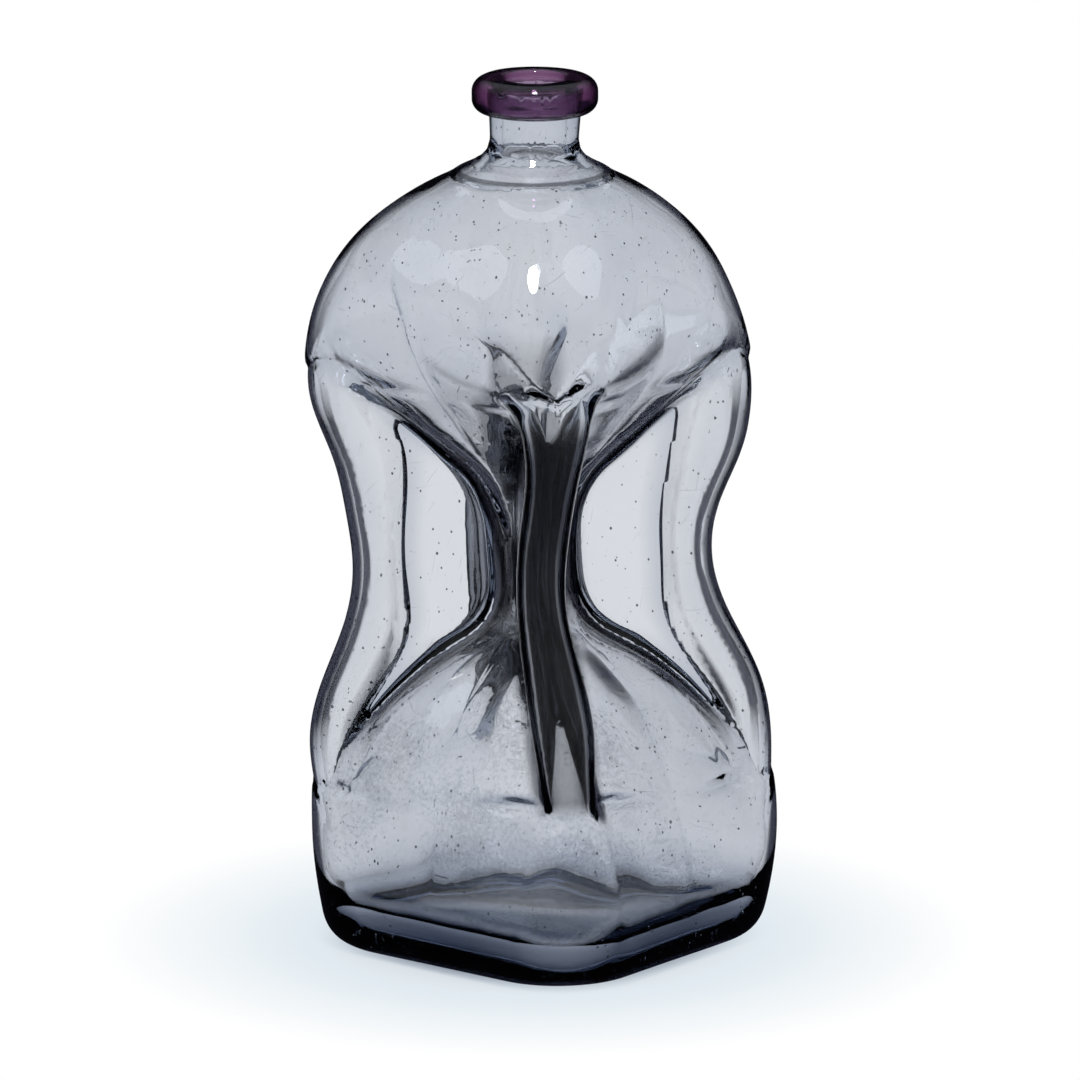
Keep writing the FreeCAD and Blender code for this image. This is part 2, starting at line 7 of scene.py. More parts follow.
import bpy
import numpy as np
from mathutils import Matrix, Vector

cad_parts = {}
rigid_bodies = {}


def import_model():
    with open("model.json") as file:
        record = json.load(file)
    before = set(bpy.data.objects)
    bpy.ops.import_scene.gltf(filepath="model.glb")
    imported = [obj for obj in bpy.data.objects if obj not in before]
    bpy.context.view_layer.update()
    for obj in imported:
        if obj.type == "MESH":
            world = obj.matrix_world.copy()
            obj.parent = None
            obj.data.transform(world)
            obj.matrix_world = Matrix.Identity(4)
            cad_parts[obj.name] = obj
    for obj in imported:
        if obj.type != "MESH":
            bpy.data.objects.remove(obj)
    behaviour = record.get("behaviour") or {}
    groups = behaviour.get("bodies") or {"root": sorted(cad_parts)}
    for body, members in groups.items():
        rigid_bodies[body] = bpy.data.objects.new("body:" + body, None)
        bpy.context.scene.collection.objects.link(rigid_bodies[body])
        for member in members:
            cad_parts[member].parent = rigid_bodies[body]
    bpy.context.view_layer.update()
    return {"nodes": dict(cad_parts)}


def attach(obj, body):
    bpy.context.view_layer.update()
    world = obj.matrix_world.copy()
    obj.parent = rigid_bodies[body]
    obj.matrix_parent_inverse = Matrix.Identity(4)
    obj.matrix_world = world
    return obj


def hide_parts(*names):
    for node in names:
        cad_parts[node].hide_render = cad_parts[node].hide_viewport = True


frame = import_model()

LOG = logging.getLogger("bottle")
MM = 0.001

Rows = tuple[tuple[float, ...], ...]


class Corner(Enum):
    """The four corner tubes by the direction of their diagonal in degrees."""

    BACK_RIGHT = 45.0
    BACK_LEFT = 135.0
    FRONT_LEFT = 225.0
    FRONT_RIGHT = 315.0


class Curve:
    """A natural cubic spline through rows of a level and its values."""

    def __init__(self, rows: Rows) -> None:
        """Solves the spline.

        Args:
            rows: level first, then one or more values, lowest level first.
        """
        table = np.array(rows, float)
        self.levels = table[:, 0]
        self.values = table[:, 1:]
        gaps = np.diff(self.levels)
        count = len(self.levels)
        matrix = np.eye(count)
        right = np.zeros_like(self.values)
        for i in range(1, count - 1):
            matrix[i, i - 1] = gaps[i - 1]
            matrix[i, i] = 2.0 * (gaps[i - 1] + gaps[i])
            matrix[i, i + 1] = gaps[i]
            rises = np.diff(self.values[i - 1 : i + 2], axis=0)
            slopes = rises / gaps[i - 1 : i + 1, None]
            right[i] = 6.0 * (slopes[1] - slopes[0])
        self.bends = np.linalg.solve(matrix, right)

    def at(self, level: np.ndarray, column: int = 0) -> np.ndarray:
        """Value of a column at each level, held constant past the ends.

        Args:
            level: levels in millimetres.
            column: which value of the rows.

        Returns:
            The values, in the shape of level.
        """
        z = np.clip(level, self.levels[0], self.levels[-1])
        i = np.clip(np.searchsorted(self.levels, z) - 1, 0, len(self.levels) - 2)
        gap = self.levels[i + 1] - self.levels[i]
        up = (z - self.levels[i]) / gap
        down = 1.0 - up
        low, high = self.values[i, column], self.values[i + 1, column]
        bend_low, bend_high = self.bends[i, column], self.bends[i + 1, column]
        curve = (down**3 - down) * bend_low + (up**3 - up) * bend_high
        return down * low + up * high + curve * gap * gap / 6.0


def soft_max(a: np.ndarray, b: np.ndarray, size: float | np.ndarray) -> np.ndarray:
    """Common part of two forms with its edge rounded over size.

    Args:
        a: distance field of one form, negative inside.
        b: distance field of the other.
        size: width of the rounding.

    Returns:
        The joined field.
    """
    h = np.maximum(size - np.abs(a - b), 0.0) / size
    return np.maximum(a, b) + h * h * size * 0.25


def soft_min(a: np.ndarray, b: np.ndarray, size: float | np.ndarray) -> np.ndarray:
    """Union of two forms with its groove filled over size, the same way."""
    return -soft_max(-a, -b, size)


def ramped(value: np.ndarray, start: float, end: float) -> np.ndarray:
    """Share of the way from start to end, held at 0 before and at 1 past it."""
    return np.clip((value - start) / (end - start), 0.0, 1.0)


def eased(share: np.ndarray) -> np.ndarray:
    """A share from 0 to 1 with soft ends."""
    return share * share * (3.0 - 2.0 * share)


def rounded_square(
    x: np.ndarray, y: np.ndarray, a: np.ndarray, b: np.ndarray, c: np.ndarray
) -> np.ndarray:
    """Distance to a rounded rectangle of half sides a and b and corner radius c."""
    qx = np.abs(x) - a + c
    qy = np.abs(y) - b + c
    outside = np.hypot(np.maximum(qx, 0.0), np.maximum(qy, 0.0))
    return outside + np.minimum(np.maximum(qx, qy), 0.0) - c


def waves(p: np.ndarray, seed: int, longest: float, shortest: float, count: int = 10) -> np.ndarray:
    """Soft random unevenness of hand-worked glass, about -1 to 1.

    Args:
        p: points, one per row, in millimetres.
        seed: which set of waves.
        longest: longest wave in millimetres.
        shortest: shortest wave in millimetres.
        count: how many waves are added up.

    Returns:
        One value per point.
    """
    rng = np.random.default_rng(seed)
    total = np.zeros(len(p))
    for _ in range(count):
        heading = rng.normal(size=3)
        heading /= np.linalg.norm(heading)
        length = math.exp(rng.uniform(math.log(shortest), math.log(longest)))
        total += np.sin(p @ heading * (2.0 * math.pi / length) + rng.uniform(0.0, 2.0 * math.pi))
    return total / math.sqrt(count * 2.0)


@dataclass(frozen=True)
class Tube:
    """One corner tube: its diagonal, its sideways bow at foot, waist and top, and how far it
    stands out above the waist.
    """

    corner: Corner
    bow: tuple[float, float, float]
    swell: float = 0.0


@dataclass
class BlownBody:
    """The blown body in one piece: neck, bulbs, pinched waist and foot (millimetres)."""

    wall: float = 2.7
    tube_wall: float = 2.7
    web_thickness: float = 3.8
    base_thickness: float = 2.6
    kick_up_radius: float = 26.0
    kick_up_height: float = 3.0
    neck_end: float = 227.0
    front_lift: float = 5.0
    back_drop: float = 15.0
    upper_rows: Rows = (
        (138.0, 38.0, 6.0), (142.05, 40.0, 6.2), (149.1, 45.2, 14.0), (156.2, 48.3, 24.1),
        (166.2, 48.6, 30.0), (176.3, 45.6, 29.1), (188.1, 39.5, 26.9), (196.9, 31.5, 24.1),
        (204.0, 20.5, 17.1), (207.0, 14.0, 13.0),
    )
    lower_rows: Rows = (
        (0.0, 47.6, 26.0), (3.2, 48.0, 25.5), (9.2, 48.4, 23.5), (23.9, 48.8, 19.5),
        (38.2, 47.6, 15.1), (48.3, 45.7, 11.2), (57.0, 43.0, 6.5), (64.4, 41.4, 5.0),
    )
    # level, distance of the middle from the axis, depth, width, bow shares
    tube_rows: Rows = (
        (24.0, 52.8, 12.4, 14.0, 1.0, 0.0, 0.0), (40.0, 53.5, 12.7, 14.8, 1.0, 0.0, 0.0),
        (55.2, 54.2, 12.8, 15.5, 0.9, 0.1, 0.0), (69.8, 49.0, 17.0, 16.8, 0.6, 0.4, 0.0),
        (84.9, 42.0, 17.9, 15.0, 0.2, 0.8, 0.0), (100.0, 40.0, 14.4, 13.4, 0.0, 1.0, 0.0),
        (118.0, 41.0, 17.0, 13.3, 0.0, 0.7, 0.3), (135.0, 44.7, 20.5, 14.2, 0.0, 0.2, 0.8),
        (146.0, 47.6, 20.0, 17.6, 0.0, 0.0, 1.0), (154.0, 48.2, 18.6, 20.6, 0.0, 0.0, 1.0),
        (163.0, 46.6, 16.6, 20.0, 0.0, 0.0, 1.0), (171.0, 43.4, 15.0, 17.0, 0.0, 0.0, 1.0),
    )
    # level, distance of the pinched skin from the axis in the middle of a flat side
    side_rows: Rows = (
        (20.0, 62.0), (38.0, 51.0), (45.0, 47.2), (52.0, 43.4), (59.0, 38.8), (66.0, 33.0), (72.0, 26.8),
        (78.0, 19.8), (84.0, 14.2), (90.0, 11.2), (97.0, 9.9), (104.0, 10.0), (112.0, 11.6), (120.0, 14.6),
        (128.0, 18.8), (136.0, 24.4), (144.0, 31.2), (150.0, 36.6), (156.0, 41.8), (162.0, 46.6),
        (168.0, 50.8), (176.0, 56.0), (196.0, 68.0),
    )
    # level, how far the axis leans towards the right of the front view
    lean_rows: Rows = (
        (0.0, 2.0), (40.0, 2.0), (56.0, 1.2), (72.0, 1.2), (100.0, -0.8), (140.0, -1.5),
        (158.0, -2.1), (175.0, -2.7), (192.0, -2.0), (209.0, -0.6), (232.0, -0.3),
    )
    lean_heading: tuple[float, float] = (0.784, 0.621)
    tubes: tuple[Tube, ...] = (
        Tube(Corner.BACK_RIGHT, (0.0, 0.0, 0.0), 2.0),
        Tube(Corner.BACK_LEFT, (3.5, 7.0, -4.5)),
        Tube(Corner.FRONT_LEFT, (0.0, 0.0, 0.0), -1.6),
        Tube(Corner.FRONT_RIGHT, (1.0, -2.6, 0.8)),
    )
    middle: float = 98.0
    tube_reach: float = 71.0
    web_reach: float = 62.0
    grid: float = 1.35
    most_triangles: int = 190000
    body: bpy.types.Object | None = field(default=None)

    def __post_init__(self) -> None:
        """Makes the curves that the fields read."""
        self.upper = Curve(self.upper_rows)
        self.lower = Curve(self.lower_rows)
        self.tube = Curve(self.tube_rows)
        self.lean = Curve(self.lean_rows)
        self.side = Curve(self.side_rows)
        self.waist_levels, self.waist_radii = self.waist_profile()

    def waist_profile(self) -> tuple[np.ndarray, np.ndarray]:
        """Levels and radii of the funnel, the throat and the dome, outside."""
        throat, top, foot = 9.8, 110.0, 96.5
        low, edge = math.radians(27.0), math.radians(65.0)
        slope, rim, skirt = math.radians(40.0), math.radians(25.0), math.radians(24.0)
        bend, dome_bend, dome = 24.0, 18.0, 78.0
        dome_r = throat + dome_bend * (1.0 - math.sin(low))
        dome_z = foot - dome_bend * math.cos(low)
        points = []
        edge_r = dome_r + dome * (math.sin(edge) - math.sin(low))
        edge_z = dome_z - dome * (math.cos(low) - math.cos(edge))
        points.append((edge_z - 80.0 * math.tan(skirt), edge_r + 80.0))
        for t in np.linspace(edge, low, 60):
            level = dome_z - dome * (math.cos(low) - math.cos(t))
            points.append((level, dome_r + dome * (math.sin(t) - math.sin(low))))
        for t in np.linspace(low, math.pi / 2, 40)[1:]:
            points.append((foot - dome_bend * math.cos(t), throat + dome_bend * (1.0 - math.sin(t))))
        for t in np.linspace(math.pi / 2, slope, 40):
            points.append((top + bend * math.cos(t), throat + bend * (1.0 - math.sin(t))))
        bend_r, bend_z = points[-1][1], points[-1][0]
        rim_z = bend_z + (46.5 - bend_r) * math.tan(slope)
        points.append((rim_z, 46.5))
        points.append((rim_z + 120.0 * math.tan(rim), 166.5))
        z, r = np.array(points).T
        fine = np.linspace(z[0], z[-1], 2000)
        smooth = np.interp(fine, z, r)
        kernel = np.hanning(57)
        padded = np.pad(smooth, 28, mode="edge")
        return fine, np.convolve(padded, kernel / kernel.sum(), mode="valid")

    def upright(self, p: np.ndarray) -> np.ndarray:
        """Points with the lean of the axis taken out."""
        shift = self.lean.at(p[:, 2])
        return p - shift[:, None] * np.array([self.lean_heading[0], self.lean_heading[1], 0.0])

    def bulbs(self, p: np.ndarray) -> np.ndarray:
        """Distance to the two bulbs before the waist is pinched."""
        x, y, z = p.T
        upper = z > 100.0
        a = np.where(upper, self.upper.at(z), self.lower.at(z))
        c = np.where(upper, self.upper.at(z, 1), self.lower.at(z, 1))
        step = 0.5
        rise = np.where(
            upper,
            self.upper.at(z + step) - self.upper.at(z - step),
            self.lower.at(z + step) - self.lower.at(z - step),
        )
        level = rounded_square(x, y, a, a, c) / np.hypot(1.0, rise)
        return np.maximum(level, z - 207.0)

    def waist(self, p: np.ndarray) -> np.ndarray:
        """Distance to the form of funnel, throat and dome, deeper on the flat sides."""
        r, z = np.hypot(p[:, 0], p[:, 1]), p[:, 2]
        forward = (p[:, 0] - p[:, 1]) / (math.sqrt(2.0) * np.maximum(r, 1.0))
        z = z - self.front_lift * np.clip(forward, 0.0, 1.0) ** 5 * ramped(z, 84.0, 64.0)
        z = z + self.back_drop * np.clip(-forward, 0.0, 1.0) ** 5 * ramped(z, 108.0, 136.0)
        diagonal = 2.0 * np.abs(p[:, 0] * p[:, 1]) / np.maximum(r * r, 1.0)
        share = diagonal**1.5
        step = 0.4
        radius, rise = 0.0, 0.0
        for part, value in (
            (share, lambda level: np.interp(level, self.waist_levels, self.waist_radii)),
            (1.0 - share, self.side.at),
        ):
            radius = radius + part * value(z)
            rise = rise + part * (value(z + step) - value(z - step)) / (2.0 * step)
        return (r - radius) / np.hypot(1.0, rise)

    def tube_frame(self, tube: Tube, p: np.ndarray) -> tuple[np.ndarray, np.ndarray, np.ndarray]:
        """Distances along and across a tube's diagonal, and the middle's sideways place."""
        a = math.radians(tube.corner.value)
        u = p[:, 0] * math.cos(a) + p[:, 1] * math.sin(a)
        v = -p[:, 0] * math.sin(a) + p[:, 1] * math.cos(a)
        if tube.swell:
            u = u - tube.swell * np.exp(-(((p[:, 2] - 130.0) / 13.0) ** 2)) * np.clip(u / 30.0, 0.0, 1.0)
        aside = sum(self.tube.at(p[:, 2], 3 + i) * tube.bow[i] for i in range(3))
        return u, v, aside

    def tube_field(self, tube: Tube, p: np.ndarray, out: np.ndarray) -> np.ndarray:
        """Distance to a corner tube's outside, an even wall round its bore."""
        skin = 0.5 * self.web_thickness
        return self.bore_field(tube, p) - skin - (self.tube_wall - skin) * out

    def bore_field(self, tube: Tube, p: np.ndarray) -> np.ndarray:
        """Distance to a corner tube's bore, which ends in a sharp fold on its web."""
        u, v, aside = self.tube_frame(tube, p)
        z = p[:, 2]
        fold = self.tube.at(z, 1) * 0.5
        half_v = self.tube.at(z, 2) * 0.5 - self.tube_wall
        half_u = fold - 0.5 * self.tube_wall
        du = u - self.tube.at(z) + 0.5 * self.tube_wall
        dv = v - aside
        level = rounded_square(du, dv, half_u, half_v, 0.9 * np.minimum(half_u, half_v))
        slant = np.hypot(half_v, fold)
        sides = (0.5 * self.tube_wall - du) * half_v + np.sqrt(dv * dv + 0.1) * fold - half_v * fold
        sides = sides / slant
        level = soft_max(level, sides, 1.6)
        return soft_max(level, np.abs(z - self.middle) - self.tube_reach, 6.0)

    def web_field(self, tube: Tube, p: np.ndarray) -> np.ndarray:
        """Distance to the fused web between a tube and the throat."""
        u, v, aside = self.tube_frame(tube, p)
        z = p[:, 2]
        centre = self.tube.at(z)
        off = np.abs(v - aside * u / centre) - self.web_thickness * 0.5
        ends = np.abs(z - self.middle) - self.web_reach
        return np.maximum(np.maximum(off, u - centre), np.maximum(-u, ends))

    def neck_field(self, p: np.ndarray, inside: bool) -> np.ndarray:
        """Distance to the neck's outside or its bore."""
        r, z = np.hypot(p[:, 0], p[:, 1]), p[:, 2]
        if inside:
            radius = np.interp(z, (198.0, 203.0, 209.5, 240.0), (17.0, 15.5, 8.4, 8.4))
            return np.maximum((r - radius) * 0.9, 199.0 - z)
        radius = np.interp(z, (203.0, 204.4, 205.3, 206.8, 208.6, 210.6, 213.6, self.neck_end),
                           (20.6, 20.4, 19.8, 16.8, 13.9, 12.2, 11.5, 12.3))
        return np.maximum((r - radius) * 0.85, 199.0 - z)

    def fold(self, q: np.ndarray) -> np.ndarray:
        """How near each point is to a web's middle, where the hollow ends in a fold."""
        nearest = np.full(len(q), 99.0)
        for tube in self.tubes:
            u, v, aside = self.tube_frame(tube, q)
            off = np.abs(v - aside * u / self.tube.at(q[:, 2]))
            nearest = np.where(u > 3.0, np.minimum(nearest, off), nearest)
        return np.clip(1.0 - nearest / 6.0, 0.0, 1.0) ** 1.4

    def pinched(self, q: np.ndarray, skin: float) -> np.ndarray:
        """Distance to the bulbs and the throat, less a skin of glass.

        The rims are rounded most on the flat sides, and the throat is drawn out
        towards each web's middle.
        """
        square = np.abs(q[:, 0] ** 2 - q[:, 1] ** 2) / np.maximum(q[:, 0] ** 2 + q[:, 1] ** 2, 1.0)
        rim = 2.0 + 10.0 * eased(ramped(square, 0.08, 0.50))
        return soft_max(self.bulbs(q) + skin, self.waist(q) + skin - self.wall * self.fold(q), rim)

    def along(self, tube: Tube, q: np.ndarray) -> np.ndarray:
        """Distance of points along a tube's diagonal."""
        a = math.radians(tube.corner.value)
        return q[:, 0] * math.cos(a) + q[:, 1] * math.sin(a)

    def off_middle(self, tube: Tube, q: np.ndarray) -> tuple[np.ndarray, np.ndarray]:
        """Distance along a tube's diagonal, and sideways from the middle of its web and tube."""
        u, v, aside = self.tube_frame(tube, q)
        return u, np.abs(v - aside * np.clip(u / self.tube.at(q[:, 2]), 0.0, 1.0))

    def pleat(self, p: np.ndarray) -> np.ndarray:
        """How much each point belongs to a web or a corner tube, 0 to 1."""
        q = self.upright(p)
        z = q[:, 2]
        near = np.zeros(len(q))
        for tube in self.tubes:
            u, off = self.off_middle(tube, q)
            near = np.maximum(near, np.where(u > 2.0, np.clip(2.0 - off / 5.0, 0.0, 1.0), 0.0))
        return near * ramped(z, 48.0, 60.0) * ramped(z, 152.0, 140.0)

    def outward(self, u: np.ndarray, q: np.ndarray) -> np.ndarray:
        """How far on a tube's outer side points at distance u on its diagonal are, 0 to 1."""
        return np.clip((u - self.tube.at(q[:, 2])) / 8.0 + 0.5, 0.0, 1.0)

    def flank(self, tube: Tube, q: np.ndarray) -> np.ndarray:
        """Where the groove beside a tube is filled: on its flanks under the upper bulb, 0 to 1."""
        _, v, aside = self.tube_frame(tube, q)
        share = np.clip(np.abs(v - aside) / (0.5 * self.tube.at(q[:, 2], 2)) - 0.1, 0.0, 1.0)
        return eased(share) * ramped(q[:, 2], 120.0, 132.0) * ramped(q[:, 2], 161.0, 152.0)

    def squeezed(self, p: np.ndarray) -> np.ndarray:
        """Where the glass is thick seen end on: the front and back tubes and the foot, 0 to 1; the glass
        gets darker painted shade there, even face on.
        """
        q = self.upright(p)
        z = q[:, 2]
        near = np.zeros(len(q))
        for tube in self.tubes:
            if tube.corner not in (Corner.FRONT_RIGHT, Corner.BACK_LEFT):
                continue
            u, off = self.off_middle(tube, q)
            front = tube.corner is Corner.FRONT_RIGHT
            top = 149.0 + 0.10 * off * off if front else 141.0
            there = np.clip(3.0 - off / 3.2, 0.0, 1.0) * ramped(top - z, 0.0, 5.0)
            near = np.maximum(near, np.where(u > 12.0, there * (1.0 if front else 0.35), 0.0))
        return np.maximum(near * ramped(z, 47.0, 51.0), 0.8 * ramped(z, 4.0, 1.0))

    def behind(self, p: np.ndarray) -> np.ndarray:
        """The back tube and its web, which get their own milder painted shade, standing in for more light
        coming through, 0 to 1.
        """
        q = self.upright(p)
        tube = next(t for t in self.tubes if t.corner is Corner.BACK_LEFT)
        u, off = self.off_middle(tube, q)
        level = ramped(q[:, 2], 62.0, 70.0) * ramped(q[:, 2], 150.0, 142.0)
        return ramped(u, 13.0, 17.0) * ramped(off, 13.0, 10.0) * level

    def broad(self, p: np.ndarray) -> np.ndarray:
        """The wide shoulder, whose painted dark outline is thin, 0 to 1."""
        return ramped(p[:, 2], 162.0, 184.0)

    def funnel(self, p: np.ndarray) -> np.ndarray:
        """How much each point belongs to the upper bulb's pinched underside, 0 to 1."""
        q = self.upright(p)
        inward = np.clip((self.waist(q) - self.bulbs(q)) / 3.0, 0.0, 1.0)
        clear = np.ones(len(q))
        for tube in self.tubes:
            u, off = self.off_middle(tube, q)
            clear = np.where(u > 2.0, np.minimum(clear, np.clip(off / 5.0 - 1.2, 0.0, 1.0)), clear)
        return inward * clear * ramped(q[:, 2], 112.0, 126.0)

    def outside(self, p: np.ndarray) -> np.ndarray:
        """Distance to the bottle's outside, negative within it."""
        q = self.upright(p)
        z = q[:, 2]
        form = self.pinched(q, 0.0)
        for tube in self.tubes:
            u = self.along(tube, q)
            near = u > 20.0
            part = q[near]
            out = self.outward(u[near], part)
            width = 6.0 * (1.0 - out) + (0.8 + 7.0 * self.flank(tube, part)) * out
            form[near] = soft_min(form[near], self.tube_field(tube, part, out), width)
            near = (u > -3.0) & (z > 30.0) & (z < 165.0)
            form[near] = soft_min(form[near], self.web_field(tube, q[near]), 3.5)
        form = soft_min(form, self.neck_field(q, False), 1.5)
        form = form + 0.07 * waves(p, 3, 46.0, 14.0)
        form = soft_max(form, -z, 8.0)
        ball = (self.kick_up_radius**2 + self.kick_up_height**2) / (2.0 * self.kick_up_height)
        hollow = np.sqrt(q[:, 0] ** 2 + q[:, 1] ** 2 + (z - self.kick_up_height + ball) ** 2) - ball
        form = soft_max(form, -hollow, 3.0)
        return np.maximum(form, z - self.neck_end)

    def hollow(self, p: np.ndarray) -> np.ndarray:
        """Distance to the hollow inside, negative within it."""
        q = self.upright(p)
        z = q[:, 2]
        form = self.pinched(q, self.wall)
        for tube in self.tubes:
            u = self.along(tube, q)
            near = u > 20.0
            part = q[near]
            out = self.outward(u[near], part)
            ends = ramped(np.abs(part[:, 2] - self.middle), 34.0, 44.0)
            width = (3.0 + 3.0 * ends) * (1.0 - out) + (0.3 + 5.0 * self.flank(tube, part)) * out
            form[near] = soft_min(form[near], self.bore_field(tube, part), width)
        form = soft_min(form, self.neck_field(q, True), 3.0)
        form = form + 0.12 * waves(p, 11, 44.0, 13.0, 12)
        floor = self.base_thickness + 3.0 * np.exp(-(np.hypot(q[:, 0], q[:, 1]) / 30.0) ** 2)
        return soft_max(form, floor - z, 22.0)

    def glass(self, p: np.ndarray) -> np.ndarray:
        """Distance to the glass itself: outside less the hollow."""
        return np.maximum(self.outside(p), -self.hollow(p))

    def build(self, step: float) -> bpy.types.Object:
        """Meshes the glass.

        Args:
            step: size of the sampling grid in millimetres.

        Returns:
            The object, closed, with a point attribute "inner" for the hollow's side.
        """
        low, high = np.array([-56.0, -56.0, -2.0]), np.array([56.0, 56.0, 230.0])
        points, quads = surface_net(self.glass, low, high, step)
        LOG.info("net: %d points, %d quads", len(points), len(quads))
        for _ in range(2):
            points = settle(self.glass, points, 0.4 * step)
        mesh = bpy.data.meshes.new("blown_body")
        mesh.from_pydata((points * MM).tolist(), [], quads.tolist())
        body = bpy.data.objects.new("blown_body", mesh)
        bpy.context.scene.collection.objects.link(body)
        if 2 * len(quads) > self.most_triangles:
            thin = body.modifiers.new("thin", "DECIMATE")
            thin.ratio = self.most_triangles / (2.0 * len(quads))
            depsgraph = bpy.context.evaluated_depsgraph_get()
            thinner = bpy.data.meshes.new_from_object(body.evaluated_get(depsgraph))
            body.modifiers.clear()
            body.data = thinner
            bpy.data.meshes.remove(mesh)
            mesh = thinner
            mesh.name = "blown_body"
        count = len(mesh.vertices)
        flat = np.empty(count * 3, np.float32)
        mesh.vertices.foreach_get("co", flat)
        points = flat.reshape(-1, 3).astype(float) / MM
        points = settle(self.glass, points, 0.3)
        mesh.vertices.foreach_set("co", (points * MM).astype(np.float32).ravel())
        # Which side of the glass, and masks that set how much painted edge shade the glass material lays on
        # each place
        inner = (-self.hollow(points) > self.outside(points)).astype(np.float32)
        mesh.attributes.new("inner", "FLOAT", "POINT").data.foreach_set("value", inner)
        for name, values in (
            ("broad", self.broad(points)),
            ("pleat", self.pleat(points)),
            ("squeezed", self.squeezed(points)),
            ("behind", self.behind(points)),
            ("funnel", self.funnel(points)),
        ):
            mesh.attributes.new(name, "FLOAT", "POINT").data.foreach_set("value", values.astype(np.float32))
        mesh.polygons.foreach_set("use_smooth", np.ones(len(mesh.polygons), bool))
        mesh.update()
        normals = slopes_at(self.glass, points, self.glass(points), 0.1)
        normals /= np.linalg.norm(normals, axis=1)[:, None]
        mesh.normals_split_custom_set_from_vertices(normals.tolist())
        LOG.info("body: %d points, %d faces", count, len(mesh.polygons))
        self.body = body
        return body


def slopes_at(form, p: np.ndarray, value: np.ndarray, step: float) -> np.ndarray:
    """Gradient of a field at each point, from its value there."""
    parts = []
    for axis in range(3):
        move = np.zeros(3)
        move[axis] = step
        parts.append((form(p + move) - value) / step)
    return np.stack(parts, axis=1)


def settle(form, p: np.ndarray, most: float) -> np.ndarray:
    """Moves points onto the surface of a field by one step of at most a given length."""
    value = form(p)
    slope = slopes_at(form, p, value, 0.05)
    square = np.maximum((slope**2).sum(axis=1), 0.05)
    move = -(value / square)[:, None] * slope
    length = np.maximum(np.linalg.norm(move, axis=1), 1e-9)
    return p + move * np.minimum(1.0, most / length)[:, None]


def smooth_object(name: str, points: list, faces: list) -> bpy.types.Object:
    """A smooth-shaded mesh object in the scene."""
    mesh = bpy.data.meshes.new(name)
    mesh.from_pydata(points, [], faces)
    mesh.polygons.foreach_set("use_smooth", np.ones(len(mesh.polygons), bool))
    mesh.update()
    made = bpy.data.objects.new(name, mesh)
    bpy.context.scene.collection.objects.link(made)
    return made


def surface_net(form, low: np.ndarray, high: np.ndarray, step: float) -> tuple[np.ndarray, np.ndarray]:
    """Quad mesh of a field's zero surface over a regular grid.

    Args:
        form: the field, called with points one per row.
        low: lowest corner of the grid.
        high: highest corner of the grid.
        step: grid size.

    Returns:
        The points and the quads, facing outwards.
    """
    axes = [np.arange(a, b + step, step) for a, b in zip(low, high)]
    shape = tuple(len(a) for a in axes)
    values = np.empty(shape)
    flat_x, flat_y = np.meshgrid(axes[0], axes[1], indexing="ij")
    for k, level in enumerate(axes[2]):
        layer = np.stack([flat_x.ravel(), flat_y.ravel(), np.full(flat_x.size, level)], axis=1)
        values[:, :, k] = form(layer).reshape(shape[:2])
    values[np.abs(values) < 1e-6] = 1e-6
    inside = values < 0.0
    cells = tuple(n - 1 for n in shape)
    total = np.zeros(cells + (3,))
    hits = np.zeros(cells)
    origin = np.array([a[0] for a in axes])
    crossings = []
    for axis in range(3):
        lower = [slice(None)] * 3
        upper = [slice(None)] * 3
        lower[axis], upper[axis] = slice(0, -1), slice(1, None)
        cross = inside[tuple(lower)] != inside[tuple(upper)]
        index = np.argwhere(cross)
        a = values[tuple(lower)][cross]
        b = values[tuple(upper)][cross]
        place = index.astype(float)
        place[:, axis] += a / (a - b)
        others = [i for i in range(3) if i != axis]
        for di in (0, -1):
            for dj in (0, -1):
                cell = index.copy()
                cell[:, others[0]] += di
                cell[:, others[1]] += dj
                good = np.all((cell >= 0) & (cell < np.array(cells)), axis=1)
                where = tuple(cell[good].T)
                np.add.at(hits, where, 1.0)
                for i in range(3):
                    np.add.at(total[..., i], where, place[good, i])
        crossings.append((axis, others, index, inside[tuple(lower)][cross]))
    used = hits > 0
    place_of = np.full(cells, -1)
    place_of[used] = np.arange(used.sum())
    points = total[used] / hits[used][:, None] * step + origin
    quads = []
    for axis, others, index, starts_inside in crossings:
        ring = []
        for di, dj in ((-1, -1), (0, -1), (0, 0), (-1, 0)):
            cell = index.copy()
            cell[:, others[0]] += di
            cell[:, others[1]] += dj
            ring.append(place_of[tuple(np.clip(cell, 0, np.array(cells) - 1).T)])
        quad = np.stack(ring, axis=1)
        flip = starts_inside if axis != 1 else ~starts_inside
        quad[~flip] = quad[~flip][:, ::-1]
        quads.append(quad[(quad >= 0).all(axis=1)])
    return points, np.concatenate(quads)


# Finishes

Colour = tuple[float, float, float, float]
Socket = bpy.types.NodeSocket
Tree = bpy.types.NodeTree
WHITE: Colour = (1.0, 1.0, 1.0, 1.0)


def material(name: str) -> tuple[bpy.types.Material, Tree]:
    """A new node material with an empty tree."""
    made = bpy.data.materials.new(name)
    made.use_nodes = True
    made.node_tree.nodes.clear()
    return made, made.node_tree


def add(tree: Tree, kind: str, **values: object) -> bpy.types.Node:
    """Adds a node and sets its properties and inputs.

    Args:
        tree: the tree.
        kind: the node's type name.
        values: properties by name, or inputs by name with spaces as underscores.

    Returns:
        The node.
    """
    node = tree.nodes.new(kind)
    for key, value in values.items():
        if hasattr(node, key):
            setattr(node, key, value)
        else:
            node.inputs[key.replace("_", " ")].default_value = value
    return node


